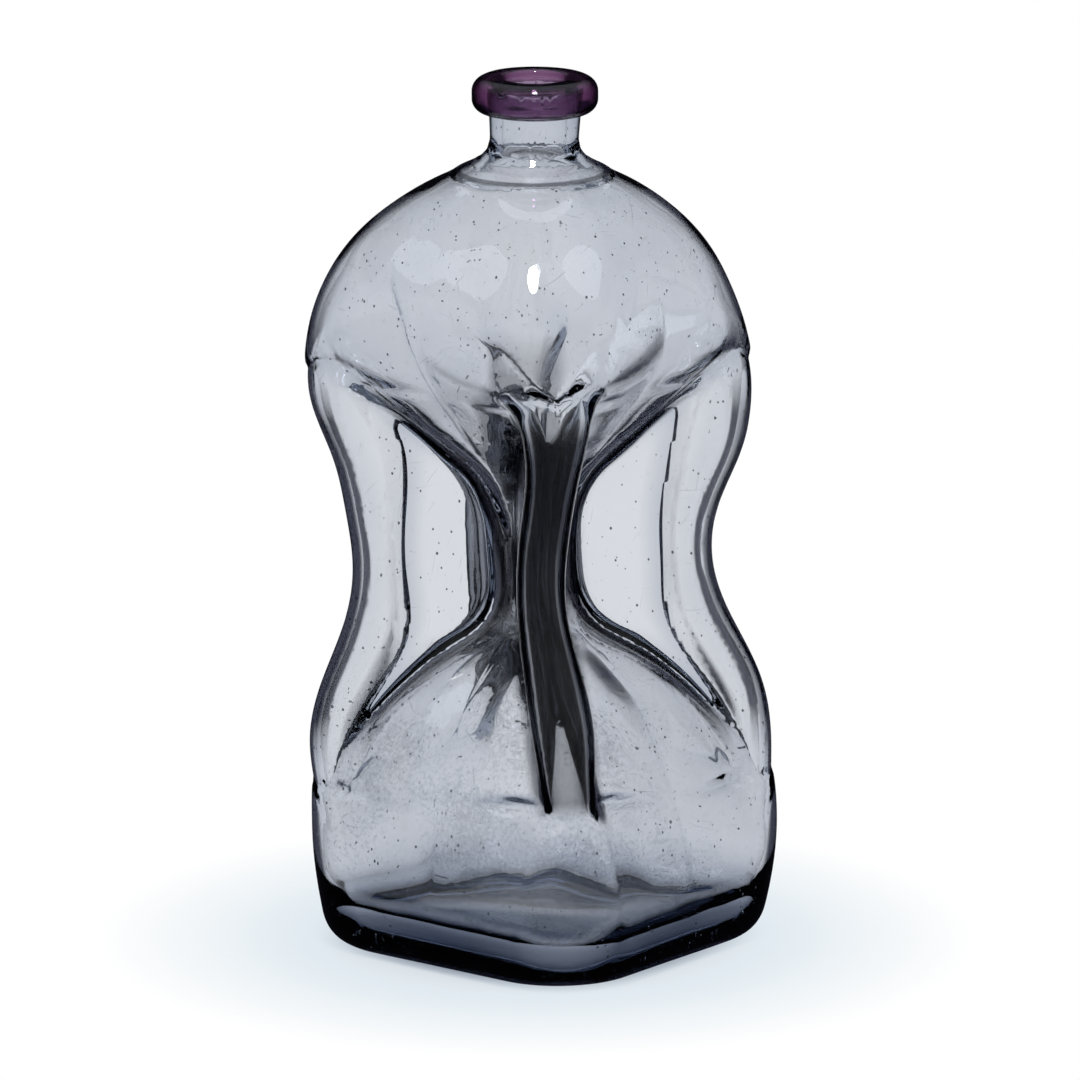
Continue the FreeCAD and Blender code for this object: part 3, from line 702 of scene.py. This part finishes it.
def feed(tree: Tree, node: bpy.types.Node, values: dict[int | str, object]) -> bpy.types.Node:
    """Links sockets into a node's inputs, or sets plain values there.

    Args:
        tree: the node's tree.
        node: the node.
        values: a socket or a plain value for each input, by place or name.

    Returns:
        The node.
    """
    for place, value in values.items():
        if isinstance(value, Socket):
            tree.links.new(value, node.inputs[place])
        else:
            node.inputs[place].default_value = value
    return node


def number(tree: Tree, operation: str, *values: object, clamp: bool = False) -> Socket:
    """Result of a sum on sockets or plain numbers."""
    node = add(tree, "ShaderNodeMath", operation=operation, use_clamp=clamp)
    return feed(tree, node, dict(enumerate(values))).outputs[0]


def vector(tree: Tree, operation: str, **values: object) -> Socket:
    """Result of a vector sum; inputs are named a, b and scale."""
    node = add(tree, "ShaderNodeVectorMath", operation=operation)
    places = {"a": 0, "b": 1, "scale": "Scale"}
    feed(tree, node, {places[key]: value for key, value in values.items()})
    return node.outputs["Value" if operation in ("LENGTH", "DOT_PRODUCT") else 0]


def span(tree: Tree, value: Socket, *ends: object, smooth: bool = False) -> Socket:
    """Maps a value between the ends from low, from high, to low and to high."""
    node = add(tree, "ShaderNodeMapRange", interpolation_type="SMOOTHSTEP" if smooth else "LINEAR")
    return feed(tree, node, dict(enumerate((value, *ends)))).outputs[0]


def colours(tree: Tree, value: Socket, stops: tuple[tuple[float, Colour], ...]) -> Socket:
    """A colour ramp through stops of a place and a colour."""
    node = add(tree, "ShaderNodeValToRGB")
    elements = node.color_ramp.elements
    while len(elements) < len(stops):
        elements.new(0.5)
    for element, (place, colour) in zip(elements, stops):
        element.position = place
        element.color = colour
    return feed(tree, node, {"Fac": value}).outputs["Color"]


def blend(tree: Tree, share: object, a: object, b: object) -> Socket:
    """Mixes two colours."""
    return feed(tree, add(tree, "ShaderNodeMix", data_type="RGBA"), {0: share, 6: a, 7: b}).outputs[2]


def cloud(tree: Tree, place: Socket, scale: object, detail: float, roughness: float = 0.5) -> Socket:
    """Noise at a place."""
    node = add(tree, "ShaderNodeTexNoise", Detail=detail, Roughness=roughness)
    return feed(tree, node, {"Vector": place, "Scale": scale}).outputs["Fac"]


def at_object(tree: Tree) -> Socket:
    """Object coordinates."""
    return add(tree, "ShaderNodeTexCoord").outputs["Object"]


def part_of(tree: Tree, place: Socket, axis: str) -> Socket:
    """One coordinate of a vector."""
    return feed(tree, add(tree, "ShaderNodeSeparateXYZ"), {0: place}).outputs[axis]


def mapped(tree: Tree, place: Socket, **values: object) -> Socket:
    """A vector after a Mapping node with the given Location or Scale."""
    return feed(tree, add(tree, "ShaderNodeMapping", **values), {"Vector": place}).outputs[0]


def stored(tree: Tree, name: str) -> Socket:
    """A point attribute of the mesh."""
    return add(tree, "ShaderNodeAttribute", attribute_name=name).outputs["Fac"]


def group(
    name: str, inputs: dict[str, tuple[str, object]], outputs: dict[str, str]
) -> tuple[Tree, bpy.types.Node, bpy.types.Node]:
    """A new shader node group.

    Args:
        name: its name.
        inputs: socket type and default by name.
        outputs: socket type by name.

    Returns:
        The group with its input and output nodes.
    """
    tree = bpy.data.node_groups.new(name, "ShaderNodeTree")
    for label, (kind, value) in inputs.items():
        socket = tree.interface.new_socket(label, in_out="INPUT", socket_type=kind)
        if value is not None:
            socket.default_value = value
    for label, kind in outputs.items():
        tree.interface.new_socket(label, in_out="OUTPUT", socket_type=kind)
    return tree, add(tree, "NodeGroupInput"), add(tree, "NodeGroupOutput")


class SharedEffects:
    """Node groups that more than one finish uses, each built once."""

    def __init__(self) -> None:
        """Starts with no group built."""
        self.made: dict[str, Tree] = {}

    def mottle(self) -> Tree:
        """Patchy flecks: small grains gathered in blotches, by how much they cover."""
        if "mottle" in self.made:
            return self.made["mottle"]
        tree, inside, outside = group(
            "mottle",
            {
                "Vector": ("NodeSocketVector", None),
                "Grain": ("NodeSocketFloat", 700.0),
                "Blotch": ("NodeSocketFloat", 55.0),
                "Cover": ("NodeSocketFloat", 0.5),
                "Softness": ("NodeSocketFloat", 0.04),
            },
            {"Mask": "NodeSocketFloat", "Shade": "NodeSocketFloat"},
        )
        given = inside.outputs
        fine = cloud(tree, given["Vector"], given["Grain"], 6.0, 0.68)
        broad = cloud(tree, given["Vector"], given["Blotch"], 4.0, 0.55)
        both = add(tree, "ShaderNodeMix", data_type="FLOAT")
        both = feed(tree, both, {0: 0.5, 2: fine, 3: broad}).outputs[0]
        edge = span(tree, given["Cover"], 0.0, 1.0, 0.70, 0.36)
        upper = number(tree, "ADD", edge, given["Softness"])
        cut = span(tree, both, edge, upper, smooth=True)
        feed(tree, outside, {"Mask": cut, "Shade": both})
        self.made["mottle"] = tree
        return tree

    def scratches(self) -> Tree:
        """Sparse hairline scratches in several directions, and a soft hand-worked ripple."""
        if "scratches" in self.made:
            return self.made["scratches"]
        tree, inside, outside = group(
            "scratches",
            {
                "Vector": ("NodeSocketVector", None),
                "Length": ("NodeSocketFloat", 70.0),
                "Fineness": ("NodeSocketFloat", 2600.0),
                "Sparsity": ("NodeSocketFloat", 0.70),
            },
            {"Mask": "NodeSocketFloat", "Height": "NodeSocketFloat"},
        )
        given = inside.outputs
        total = None
        for turn, tilt in ((0.5, 0.3), (1.9, -0.5), (2.9, 0.9)):
            spin = add(tree, "ShaderNodeVectorRotate", rotation_type="EULER_XYZ")
            spin.inputs["Rotation"].default_value = (tilt, 0.6 * tilt, turn)
            turned = feed(tree, spin, {"Vector": given["Vector"]}).outputs[0]
            long = add(tree, "ShaderNodeCombineXYZ")
            for axis, scale in (("X", "Length"), ("Y", "Fineness"), ("Z", "Length")):
                along = number(tree, "MULTIPLY", part_of(tree, turned, axis), given[scale])
                feed(tree, long, {axis: along})
            lines = cloud(tree, long.outputs[0], 1.0, 1.0, 0.4)
            upper = number(tree, "ADD", given["Sparsity"], 0.05)
            cut = span(tree, lines, given["Sparsity"], upper)
            total = cut if total is None else number(tree, "MAXIMUM", total, cut)
        ripple = cloud(tree, given["Vector"], 95.0, 2.0, 0.4)
        feed(tree, outside, {"Mask": total, "Height": number(tree, "MULTIPLY_ADD", total, -0.12, ripple)})
        self.made["scratches"] = tree
        return tree


EFFECTS = SharedEffects()


def use(tree: Tree, shared: Tree, **values: object) -> bpy.types.Node:
    """Places a shared group in a material, on Object coordinates, with its own values."""
    node = tree.nodes.new("ShaderNodeGroup")
    node.node_tree = shared
    return feed(tree, node, {"Vector": at_object(tree), **values})


@dataclass(frozen=True)
class ClearGlass:
    """Blown glass: its tint per metre of glass, and how dark it turns at grazing angles, which is painted
    shade:
    dark outlines painted into its colour that stand in for the dark surroundings the glass bends and
    reflects there.

    Each ramp belongs to a point attribute of the mesh and holds shares of clear glass by how
    far the surface turns away, so it sets how much painted shade that place gets.
    """

    name: str
    tint: Colour
    density: float
    # edge: the colour of the painted shade on the outlines
    edge: Colour
    shadow: Colour
    outer_edge_shade: Rows = ((0.45, 1.0), (0.50, 0.78), (0.545, 0.12), (0.59, 0.01), (1.0, 0.004))
    edge_shade_ramps: tuple[tuple[str, Rows], ...] = (
        ("broad", ((0.58, 1.0), (0.65, 0.80), (0.70, 0.15), (0.76, 0.01), (1.0, 0.004))),
        ("inner", ((0.60, 1.0), (0.74, 0.70), (0.86, 0.15), (1.0, 0.02))),
        ("funnel", ((0.66, 1.0), (0.80, 0.62), (0.90, 0.16), (1.0, 0.02))),
        ("pleat", ((0.15, 1.0), (0.20, 0.62), (0.245, 0.10), (0.30, 0.01), (1.0, 0.004))),
        ("squeezed", ((0.0, 0.50), (0.09, 0.34), (0.20, 0.12), (0.30, 0.02), (1.0, 0.004))),
        ("behind", ((0.0, 0.66), (0.30, 0.46), (0.60, 0.34), (0.90, 0.20), (1.0, 0.08))),
    )
    # ring: radius of the painted dark line of shade in the neck's groove, 0 for none
    ring: float = 0.0

    def ramp(self, tree: Tree, facing: Socket, rows: Rows) -> Socket:
        """Painted shade by how far the surface turns away: clear at 1, the edge colour at 0."""
        return colours(tree, facing, tuple(
            (place, tuple(e + (1.0 - e) * level for e in self.edge[:3]) + (1.0,)) for place, level in rows
        ))

    def painted_groove_shade(self, tree: Tree) -> Socket:
        """Painted shade: a dark line painted into the groove where the neck's flare meets the shoulder, on
        the outside only.
        """
        place = at_object(tree)
        level_with = mapped(tree, place, Location=(0.0007, 0.0006, 0.0), Scale=(1.0, 1.0, 0.0))
        off = number(tree, "SUBTRACT", vector(tree, "LENGTH", a=level_with), self.ring)
        band = span(tree, number(tree, "ABSOLUTE", off), 0.0004, 0.0011, 0.9, 0.0, smooth=True)
        high = number(tree, "GREATER_THAN", part_of(tree, place, "Z"), 0.195)
        outer = number(tree, "LESS_THAN", stored(tree, "inner"), 0.5)
        return number(tree, "MULTIPLY", number(tree, "MULTIPLY", high, outer), band)

    def make(self) -> bpy.types.Material:
        """The material."""
        made, tree = material(self.name)
        shader = add(tree, "ShaderNodeBsdfPrincipled", Roughness=0.0, IOR=1.5)
        shader.inputs["Transmission Weight"].default_value = 1.0
        facing = add(tree, "ShaderNodeLayerWeight", Blend=0.5).outputs["Facing"]
        # Painted shade: darker towards the edge colour where the surface turns away, more or less by place
        tone = self.ramp(tree, facing, self.outer_edge_shade)
        for name, rows in self.edge_shade_ramps:
            tone = blend(tree, stored(tree, name), tone, self.ramp(tree, facing, rows))
        # Painted shade in the groove at the neck's foot
        if self.ring:
            tone = blend(tree, self.painted_groove_shade(tree), tone, self.edge)
        wear = use(tree, EFFECTS.scratches(), Sparsity=0.765).outputs
        faint = number(tree, "MULTIPLY", wear["Mask"], 0.5)
        bump = add(tree, "ShaderNodeBump", Strength=0.14, Distance=0.0004)
        feed(tree, bump, {"Height": wear["Height"]})
        feed(tree, shader, {
            "Base Color": blend(tree, faint, tone, (0.30, 0.31, 0.33, 1.0)),
            "Roughness": number(tree, "MULTIPLY", wear["Mask"], 0.25),
            "Normal": bump.outputs[0],
        })
        clear = add(tree, "ShaderNodeBsdfTransparent", Color=self.shadow)
        path = add(tree, "ShaderNodeLightPath").outputs
        either = number(tree, "MAXIMUM", path["Is Shadow Ray"], path["Is Diffuse Ray"])
        mix = add(tree, "ShaderNodeMixShader")
        feed(tree, mix, {0: either, 1: shader.outputs[0], 2: clear.outputs[0]})
        soak = add(tree, "ShaderNodeVolumeAbsorption", Color=self.tint, Density=self.density)
        out = add(tree, "ShaderNodeOutputMaterial")
        feed(tree, out, {"Surface": mix.outputs[0], "Volume": soak.outputs[0]})
        return made


@dataclass(frozen=True)
class StainFinish:
    """Dried water film: pale flecks in a band, blue-grey below, brownish above."""

    name: str = "water_stain"
    pale: Colour = (0.60, 0.62, 0.64, 1.0)
    deep: Colour = (0.20, 0.25, 0.31, 1.0)
    brown: Colour = (0.24, 0.20, 0.18, 1.0)
    washed: Colour = (0.55, 0.62, 0.66, 1.0)
    start: float = 0.008
    reach: float = 0.085
    sideways: tuple[float, float, float] = (0.784, 0.621, 0.0)

    def level_ramp(self, tree: Tree, rows: tuple[tuple[float, object], ...]) -> Socket:
        """Colours by height above the base, in shares of the film's reach."""
        place = at_object(tree)
        sway = cloud(tree, place, 38.0, 3.0)
        moved = number(tree, "MULTIPLY_ADD", sway, 0.016, part_of(tree, place, "Z"))
        share = span(tree, moved, self.start, self.reach + self.start)
        return colours(tree, share, tuple(
            (at, tone if isinstance(tone, tuple) else (tone, tone, tone, 1.0)) for at, tone in rows
        ))

    def make(self) -> bpy.types.Material:
        """The material, see-through between its flecks."""
        made, tree = material(self.name)
        hue = self.level_ramp(tree, (
            (0.0, self.deep), (0.30, self.deep), (0.45, self.pale), (0.74, self.pale), (0.80, self.brown),
            (1.0, self.brown),
        ))
        cover = self.level_ramp(tree, (
            (0.0, 0.55), (0.12, 0.62), (0.24, 0.40), (0.36, 0.62), (0.55, 0.78), (0.68, 0.55),
            (0.755, 0.10), (0.80, 0.25), (0.92, 0.35), (1.0, 0.0),
        ))
        low = self.level_ramp(tree, ((0.0, 0.9), (0.22, 0.9), (0.32, 0.0), (1.0, 0.0)))
        flecks = use(tree, EFFECTS.mottle(), Grain=800.0, Blotch=30.0, Softness=0.20, Cover=cover).outputs
        tone = vector(tree, "SCALE", a=hue, scale=span(tree, flecks["Shade"], 0.35, 0.70, 0.62, 1.25))
        place = at_object(tree)
        patch = cloud(tree, place, 26.0, 5.0, 0.6)
        warm = colours(tree, patch, ((0.42, (0.78, 0.92, 1.0, 1.0)), (0.58, (1.0, 0.93, 0.87, 1.0))))
        tide = cloud(tree, mapped(tree, place, Scale=(55.0, 55.0, 420.0)), 1.0, 4.0, 0.6)
        streak = number(tree, "MULTIPLY", span(tree, tide, 0.56, 0.64, smooth=True), low)
        across = vector(tree, "DOT_PRODUCT", a=place, b=self.sideways)
        ragged = number(tree, "MULTIPLY_ADD", patch, 0.05, across)
        aside = span(tree, ragged, 0.046, 0.064, 1.0, 0.10, smooth=True)
        veil = number(tree, "MULTIPLY", flecks["Mask"], 0.46)
        shader = add(tree, "ShaderNodeBsdfPrincipled", Roughness=0.85)
        feed(tree, shader, {
            "Base Color": blend(tree, streak, vector(tree, "MULTIPLY", a=tone, b=warm), self.washed),
            "Alpha": number(tree, "MULTIPLY", veil, number(tree, "MAXIMUM", aside, low)),
        })
        feed(tree, add(tree, "ShaderNodeOutputMaterial"), {"Surface": shader.outputs[0]})
        return made


@dataclass
class WaterStain:
    """The film that water left inside the lower bulb (millimetres)."""

    top: float = 84.0
    gap: float = 0.3
    grid: float = 1.9

    def build(self, glass: BlownBody) -> bpy.types.Object:
        """Lays the film just inside the hollow.

        Args:
            glass: the body whose hollow it lines.

        Returns:
            The film's object.
        """
        low, high = np.array([-56.0, -56.0, 0.0]), np.array([56.0, 56.0, self.top])

        def skin(p: np.ndarray) -> np.ndarray:
            """The hollow's surface moved inwards by the gap."""
            return glass.hollow(p) + self.gap

        points, quads = surface_net(skin, low, high, self.grid)
        points = settle(skin, points, 0.4 * self.grid)
        return smooth_object("water_film", (points * MM).tolist(), quads.tolist())


@dataclass(frozen=True)
class BubbleFinish:
    """A bubble of air in glass: clear in the middle with a dark rim of painted shade where its surface
    turns away, standing in for light bent away at its edge.
    """

    name: str = "seed_glass"
    air_in_glass: float = 0.67
    clear: Colour = (0.62, 0.64, 0.68, 1.0)
    # rim: colour of the painted shade at the bubble's edge
    rim: Colour = (0.03, 0.03, 0.04, 1.0)

    def make(self) -> bpy.types.Material:
        """The material."""
        made, tree = material(self.name)
        shader = add(tree, "ShaderNodeBsdfPrincipled", Roughness=0.0, IOR=self.air_in_glass)
        shader.inputs["Transmission Weight"].default_value = 1.0
        facing = add(tree, "ShaderNodeLayerWeight", Blend=0.5).outputs["Facing"]
        # Painted shade: the colour turns to the rim colour where the surface turns away
        feed(tree, shader, {"Base Color": colours(tree, facing, ((0.02, self.clear), (0.30, self.rim)))})
        feed(tree, add(tree, "ShaderNodeOutputMaterial"), {"Surface": shader.outputs[0]})
        return made


@dataclass
class SeedBubbles:
    """Tiny bubbles caught in the wall (metres)."""

    per_square_metre: float = 24000.0
    depth: float = 0.0012
    smallest: float = 0.00009
    largest: float = 0.00038
    stretch: float = 1.3
    seed: int = 7

    def tree(self, finish: bpy.types.Material) -> Tree:
        """The geometry tree that sows the bubbles under a surface."""
        tree = bpy.data.node_groups.new("sow_bubbles", "GeometryNodeTree")
        tree.interface.new_socket("Geometry", in_out="INPUT", socket_type="NodeSocketGeometry")
        for label in ("Density", "Depth", "Smallest", "Largest", "Stretch"):
            tree.interface.new_socket(label, in_out="INPUT", socket_type="NodeSocketFloat")
        tree.interface.new_socket("Geometry", in_out="OUTPUT", socket_type="NodeSocketGeometry")
        given = add(tree, "NodeGroupInput").outputs
        sow = add(tree, "GeometryNodeDistributePointsOnFaces", distribute_method="RANDOM", Seed=self.seed)
        feed(tree, sow, {"Mesh": given["Geometry"], "Density": given["Density"]})
        under = number(tree, "MULTIPLY", given["Depth"], -1.0)
        inward = vector(tree, "SCALE", a=sow.outputs["Normal"], scale=under)
        sink = add(tree, "GeometryNodeSetPosition")
        feed(tree, sink, {"Geometry": sow.outputs["Points"], "Offset": inward})
        chance = add(tree, "FunctionNodeRandomValue", data_type="FLOAT", Seed=self.seed + 1)
        few = number(tree, "POWER", chance.outputs[1], 3.0)
        size = span(tree, few, 0.0, 1.0, given["Smallest"], given["Largest"])
        scale = add(tree, "ShaderNodeCombineXYZ")
        feed(tree, scale, {"X": size, "Y": size, "Z": number(tree, "MULTIPLY", size, given["Stretch"])})
        ball = add(tree, "GeometryNodeMeshIcoSphere", Radius=1.0, Subdivisions=1)
        put = add(tree, "GeometryNodeInstanceOnPoints")
        feed(tree, put, {
            "Points": sink.outputs[0], "Instance": ball.outputs["Mesh"], "Scale": scale.outputs[0],
        })
        real = feed(tree, add(tree, "GeometryNodeRealizeInstances"), {0: put.outputs[0]})
        smooth = feed(tree, add(tree, "GeometryNodeSetShadeSmooth"), {"Geometry": real.outputs[0]})
        dress = add(tree, "GeometryNodeSetMaterial")
        feed(tree, dress, {"Geometry": smooth.outputs[0], "Material": finish})
        feed(tree, add(tree, "NodeGroupOutput"), {0: dress.outputs[0]})
        return tree

    def build(self, body: bpy.types.Object, finish: bpy.types.Material) -> bpy.types.Object:
        """Sows the bubbles in the body's glass.

        Args:
            body: the glass.
            finish: the bubbles' material.

        Returns:
            One object of plain mesh with all the bubbles.
        """
        source = bpy.data.objects.new("seed_bubbles", body.data.copy())
        bpy.context.scene.collection.objects.link(source)
        tree = self.tree(finish)
        sown = source.modifiers.new("sow", "NODES")
        sown.node_group = tree
        values = {
            "Density": self.per_square_metre, "Depth": self.depth, "Smallest": self.smallest,
            "Largest": self.largest, "Stretch": self.stretch,
        }
        for item in tree.interface.items_tree:
            if item.in_out == "INPUT" and item.name in values:
                sown[item.identifier] = values[item.name]
        depsgraph = bpy.context.evaluated_depsgraph_get()
        mesh = bpy.data.meshes.new_from_object(source.evaluated_get(depsgraph))
        source.modifiers.clear()
        source.data = mesh
        mesh.name = "seed_bubbles"
        LOG.info("bubbles: %d faces", len(mesh.polygons))
        return source


@dataclass
class LipRing:
    """The applied purple lip ring (millimetres)."""

    top: float = 230.0
    bottom: float = 220.6
    radius: float = 16.2
    bore: float = 8.3
    gap: float = 0.06
    turns: int = 96

    def build(self, lean: Curve, heading: tuple[float, float]) -> bpy.types.Object:
        """Turns the ring's section, with the slight unevenness of a hand-laid trail."""
        neck_r = 12.15
        section: list[tuple[float, float]] = [(self.bore, 227.1 + self.gap)]
        for t in np.linspace(math.pi, math.pi / 2, 7):
            section.append((self.bore + 1.4 + 1.4 * math.cos(t), self.top - 1.4 + 1.4 * math.sin(t)))
        round_top, round_bottom = 3.7, 3.7
        for t in np.linspace(math.pi / 2, 0.0, 14):
            level = self.top - round_top + round_top * math.sin(t)
            section.append((self.radius - round_top + round_top * math.cos(t), level))
        for t in np.linspace(0.0, -math.pi / 2, 14):
            level = self.bottom + round_bottom + round_bottom * math.sin(t)
            section.append((self.radius - round_bottom + round_bottom * math.cos(t), level))
        section.append((neck_r + self.gap + 0.15, self.bottom + 0.25))
        section.append((neck_r + self.gap, self.bottom + 0.6))
        section.append((12.3 + self.gap, 226.6))
        section.append((12.3 + self.gap - 0.2, 227.0 + self.gap))
        points, faces = [], []
        count = len(section)
        for turn in range(self.turns):
            a = 2.0 * math.pi * turn / self.turns
            swell = 1.0 + 0.012 * math.sin(2 * a + 0.6) + 0.006 * math.sin(5 * a)
            droop = 0.25 * math.sin(a + 2.2)
            for r, z in section:
                far = (r - 12.3) / (self.radius - 12.3)
                rr = r * (swell if far > 0 else 1.0)
                zz = z + droop * max(far, 0.0)
                shift = float(lean.at(np.array([z]))[0])
                points.append((
                    (rr * math.cos(a) + shift * heading[0]) * MM,
                    (rr * math.sin(a) + shift * heading[1]) * MM,
                    zz * MM,
                ))
        for turn in range(self.turns):
            for i in range(count):
                a0, b0 = turn * count + i, turn * count + (i + 1) % count
                a1 = ((turn + 1) % self.turns) * count + i
                b1 = ((turn + 1) % self.turns) * count + (i + 1) % count
                faces.append((a0, b0, b1, a1))
        return smooth_object("purple_lip", points, faces)


@dataclass
class Studio:
    """Camera, pale floor, white surroundings and soft lamps (metres, degrees, watts)."""

    azimuth: float = 38.4
    distance: float = 3.19
    height: float = 0.8906
    lens: float = 420.0
    aim_height: float = 0.1066
    aim_right: float = 0.00105
    # name, azimuth, elevation, distance, width, height, power, seen in reflections
    lamps: tuple[tuple[object, ...], ...] = (
        ("front_lamp", 37.0, 66.0, 1.3, 0.17, 0.42, 9.0, True),
        ("left_lamp", -40.0, 50.0, 1.6, 0.9, 0.9, 5.0, False),
        ("right_lamp", 120.0, 50.0, 1.6, 0.9, 0.9, 5.0, False),
        ("back_lamp", 218.0, 60.0, 1.8, 1.2, 1.2, 7.0, False),
    )

    def camera(self) -> None:
        """Sets the camera at the photograph's angle."""
        a = math.radians(self.azimuth)
        right = Vector((math.cos(a), math.sin(a), 0.0)) * self.aim_right
        target = right + Vector((0.0, 0.0, self.aim_height))
        place = Vector((math.sin(a) * self.distance, -math.cos(a) * self.distance, self.height)) + right
        data = bpy.data.cameras.new("camera")
        data.lens = self.lens
        data.sensor_width = 36.0
        data.clip_start, data.clip_end = 0.1, 50.0
        cam = bpy.data.objects.new("camera", data)
        cam.location = place
        cam.rotation_mode = "QUATERNION"
        cam.rotation_quaternion = (target - place).to_track_quat("-Z", "Y")
        bpy.context.scene.collection.objects.link(cam)
        bpy.context.scene.camera = cam

    def world(self) -> None:
        """White behind the glass, dimmer where surfaces reflect it."""
        world = bpy.data.worlds.new("white_room")
        world.use_nodes = True
        tree = world.node_tree
        tree.nodes.clear()
        path = add(tree, "ShaderNodeLightPath").outputs
        seen = number(tree, "MAXIMUM", path["Is Camera Ray"], path["Is Transmission Ray"])
        up = part_of(tree, add(tree, "ShaderNodeTexCoord").outputs["Generated"], "Z")
        sky = colours(tree, up, ((0.30, (0.006, 0.006, 0.009, 1.0)), (0.95, (0.60, 0.64, 0.68, 1.0))))
        high = colours(tree, up, ((0.36, WHITE), (0.46, (0.16, 0.20, 0.24, 1.0))))
        back = add(tree, "ShaderNodeBackground", Strength=1.0)
        feed(tree, back, {"Color": blend(tree, seen, sky, high)})
        feed(tree, add(tree, "ShaderNodeOutputWorld"), {"Surface": back.outputs[0]})
        bpy.context.scene.world = world

    def floor(self) -> None:
        """A pale floor that the bottle stands on: white far off, with its shadow near by, a painted bluish
        darker reflection round it in what the camera sees, and near-black where glass reflects it, standing
        in for a dark room.
        """
        side = 3.0
        corners = [(-side, -side, 0), (side, -side, 0), (side, side, 0), (-side, side, 0)]
        mesh = bpy.data.meshes.new("floor")
        mesh.from_pydata(corners, [], [(0, 1, 2, 3)])
        floor = bpy.data.objects.new("floor", mesh)
        bpy.context.scene.collection.objects.link(floor)
        made, tree = material("pale_floor")
        pale = add(tree, "ShaderNodeBsdfPrincipled", Roughness=0.3, IOR=1.4)
        pale.inputs["Base Color"].default_value = (0.93, 0.945, 0.95, 1.0)
        path = add(tree, "ShaderNodeLightPath").outputs
        reach = vector(tree, "LENGTH", a=at_object(tree))
        fade = span(tree, reach, 0.028, 0.064, smooth=True)
        # Painted reflection: a bluish darker ring of emission round the bottle for camera rays, fading to
        # white from about 62 to 115 mm out
        near = number(tree, "MULTIPLY", reach, 8.0)
        painted_reflection = colours(tree, near, ((0.50, (0.76, 0.83, 0.88, 1.0)), (0.92, WHITE)))
        bright = add(tree, "ShaderNodeEmission", Strength=1.0)
        feed(tree, bright, {"Color": blend(tree, path["Is Camera Ray"], WHITE, painted_reflection)})
        # Near-black in glossy reflections, standing in for a dark room round the set
        dim = add(tree, "ShaderNodeEmission", Color=(0.008, 0.008, 0.012, 1.0), Strength=1.0)
        seen = number(tree, "MAXIMUM", path["Is Camera Ray"], path["Is Transmission Ray"])
        shown = feed(tree, add(tree, "ShaderNodeMixShader"), {
            0: number(tree, "MULTIPLY", seen, fade), 1: pale.outputs[0], 2: bright.outputs[0],
        })
        bounced = number(tree, "SUBTRACT", path["Is Glossy Ray"], path["Is Transmission Ray"], clamp=True)
        mirrored = add(tree, "ShaderNodeMixShader")
        feed(tree, mirrored, {0: bounced, 1: shown.outputs[0], 2: dim.outputs[0]})
        feed(tree, add(tree, "ShaderNodeOutputMaterial"), {"Surface": mirrored.outputs[0]})
        mesh.materials.append(made)
        floor.location.z = -0.0002

    def lamp(
        self, name: str, azimuth: float, elevation: float, far: float, width: float, tall: float,
        power: float, shows: bool,
    ) -> None:
        """One soft lamp aimed at the bottle, by its direction from it in degrees."""
        a, e = math.radians(azimuth), math.radians(elevation)
        data = bpy.data.lights.new(name, "AREA")
        data.shape = "ELLIPSE"
        data.size, data.size_y = width, tall
        data.energy = power
        lamp = bpy.data.objects.new(name, data)
        centre = Vector((0.0, 0.0, 0.12))
        heading = Vector((math.sin(a) * math.cos(e), -math.cos(a) * math.cos(e), math.sin(e)))
        lamp.location = centre + heading * far
        lamp.rotation_mode = "QUATERNION"
        lamp.rotation_quaternion = (centre - lamp.location).to_track_quat("-Z", "Y")
        lamp.visible_glossy = shows
        bpy.context.scene.collection.objects.link(lamp)

    def build(self) -> None:
        """Sets up the whole studio."""
        self.camera()
        self.world()
        self.floor()
        for row in self.lamps:
            self.lamp(*row)
        bpy.context.scene.view_settings.view_transform = "Standard"


BODY_GLASS = ClearGlass(
    "body_glass",
    tint=(0.39, 0.45, 0.56, 1.0),
    density=148.0,
    # edge: near-black navy painted shade for the outlines
    edge=(0.004, 0.0045, 0.012, 1.0),
    shadow=(0.93, 0.94, 0.96, 1.0),
    # ring: radius of the painted dark line of shade at the neck's foot
    ring=0.0196,
)
LIP_GLASS = ClearGlass(
    "lip_glass",
    tint=(0.46, 0.22, 0.46, 1.0),
    density=430.0,
    # edge and outer_edge_shade: the dark purple painted shade on the lip's outlines
    edge=(0.008, 0.003, 0.010, 1.0),
    shadow=(0.75, 0.65, 0.8, 1.0),
    outer_edge_shade=((0.30, 1.0), (0.45, 0.62), (0.58, 0.14), (0.68, 0.02), (1.0, 0.01)),
)


def main() -> None:
    """Builds the bottle and its studio."""
    logging.basicConfig(level=logging.INFO, format="%(name)s: %(message)s")
    blown = BlownBody()
    body = blown.build(blown.grid)
    body.data.materials.append(BODY_GLASS.make())
    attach(body, "root")
    zones = [n for n in frame["nodes"] if n != "lip_ring"]
    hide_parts(*zones)
    film = WaterStain().build(blown)
    film.data.materials.append(StainFinish().make())
    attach(film, "root")
    bubbles = SeedBubbles().build(body, BubbleFinish().make())
    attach(bubbles, "root")
    lip = LipRing().build(blown.lean, blown.lean_heading)
    lip.data.materials.append(LIP_GLASS.make())
    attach(lip, "root")
    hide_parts("lip_ring")
    Studio().build()


if __name__ == "__main__":
    main()
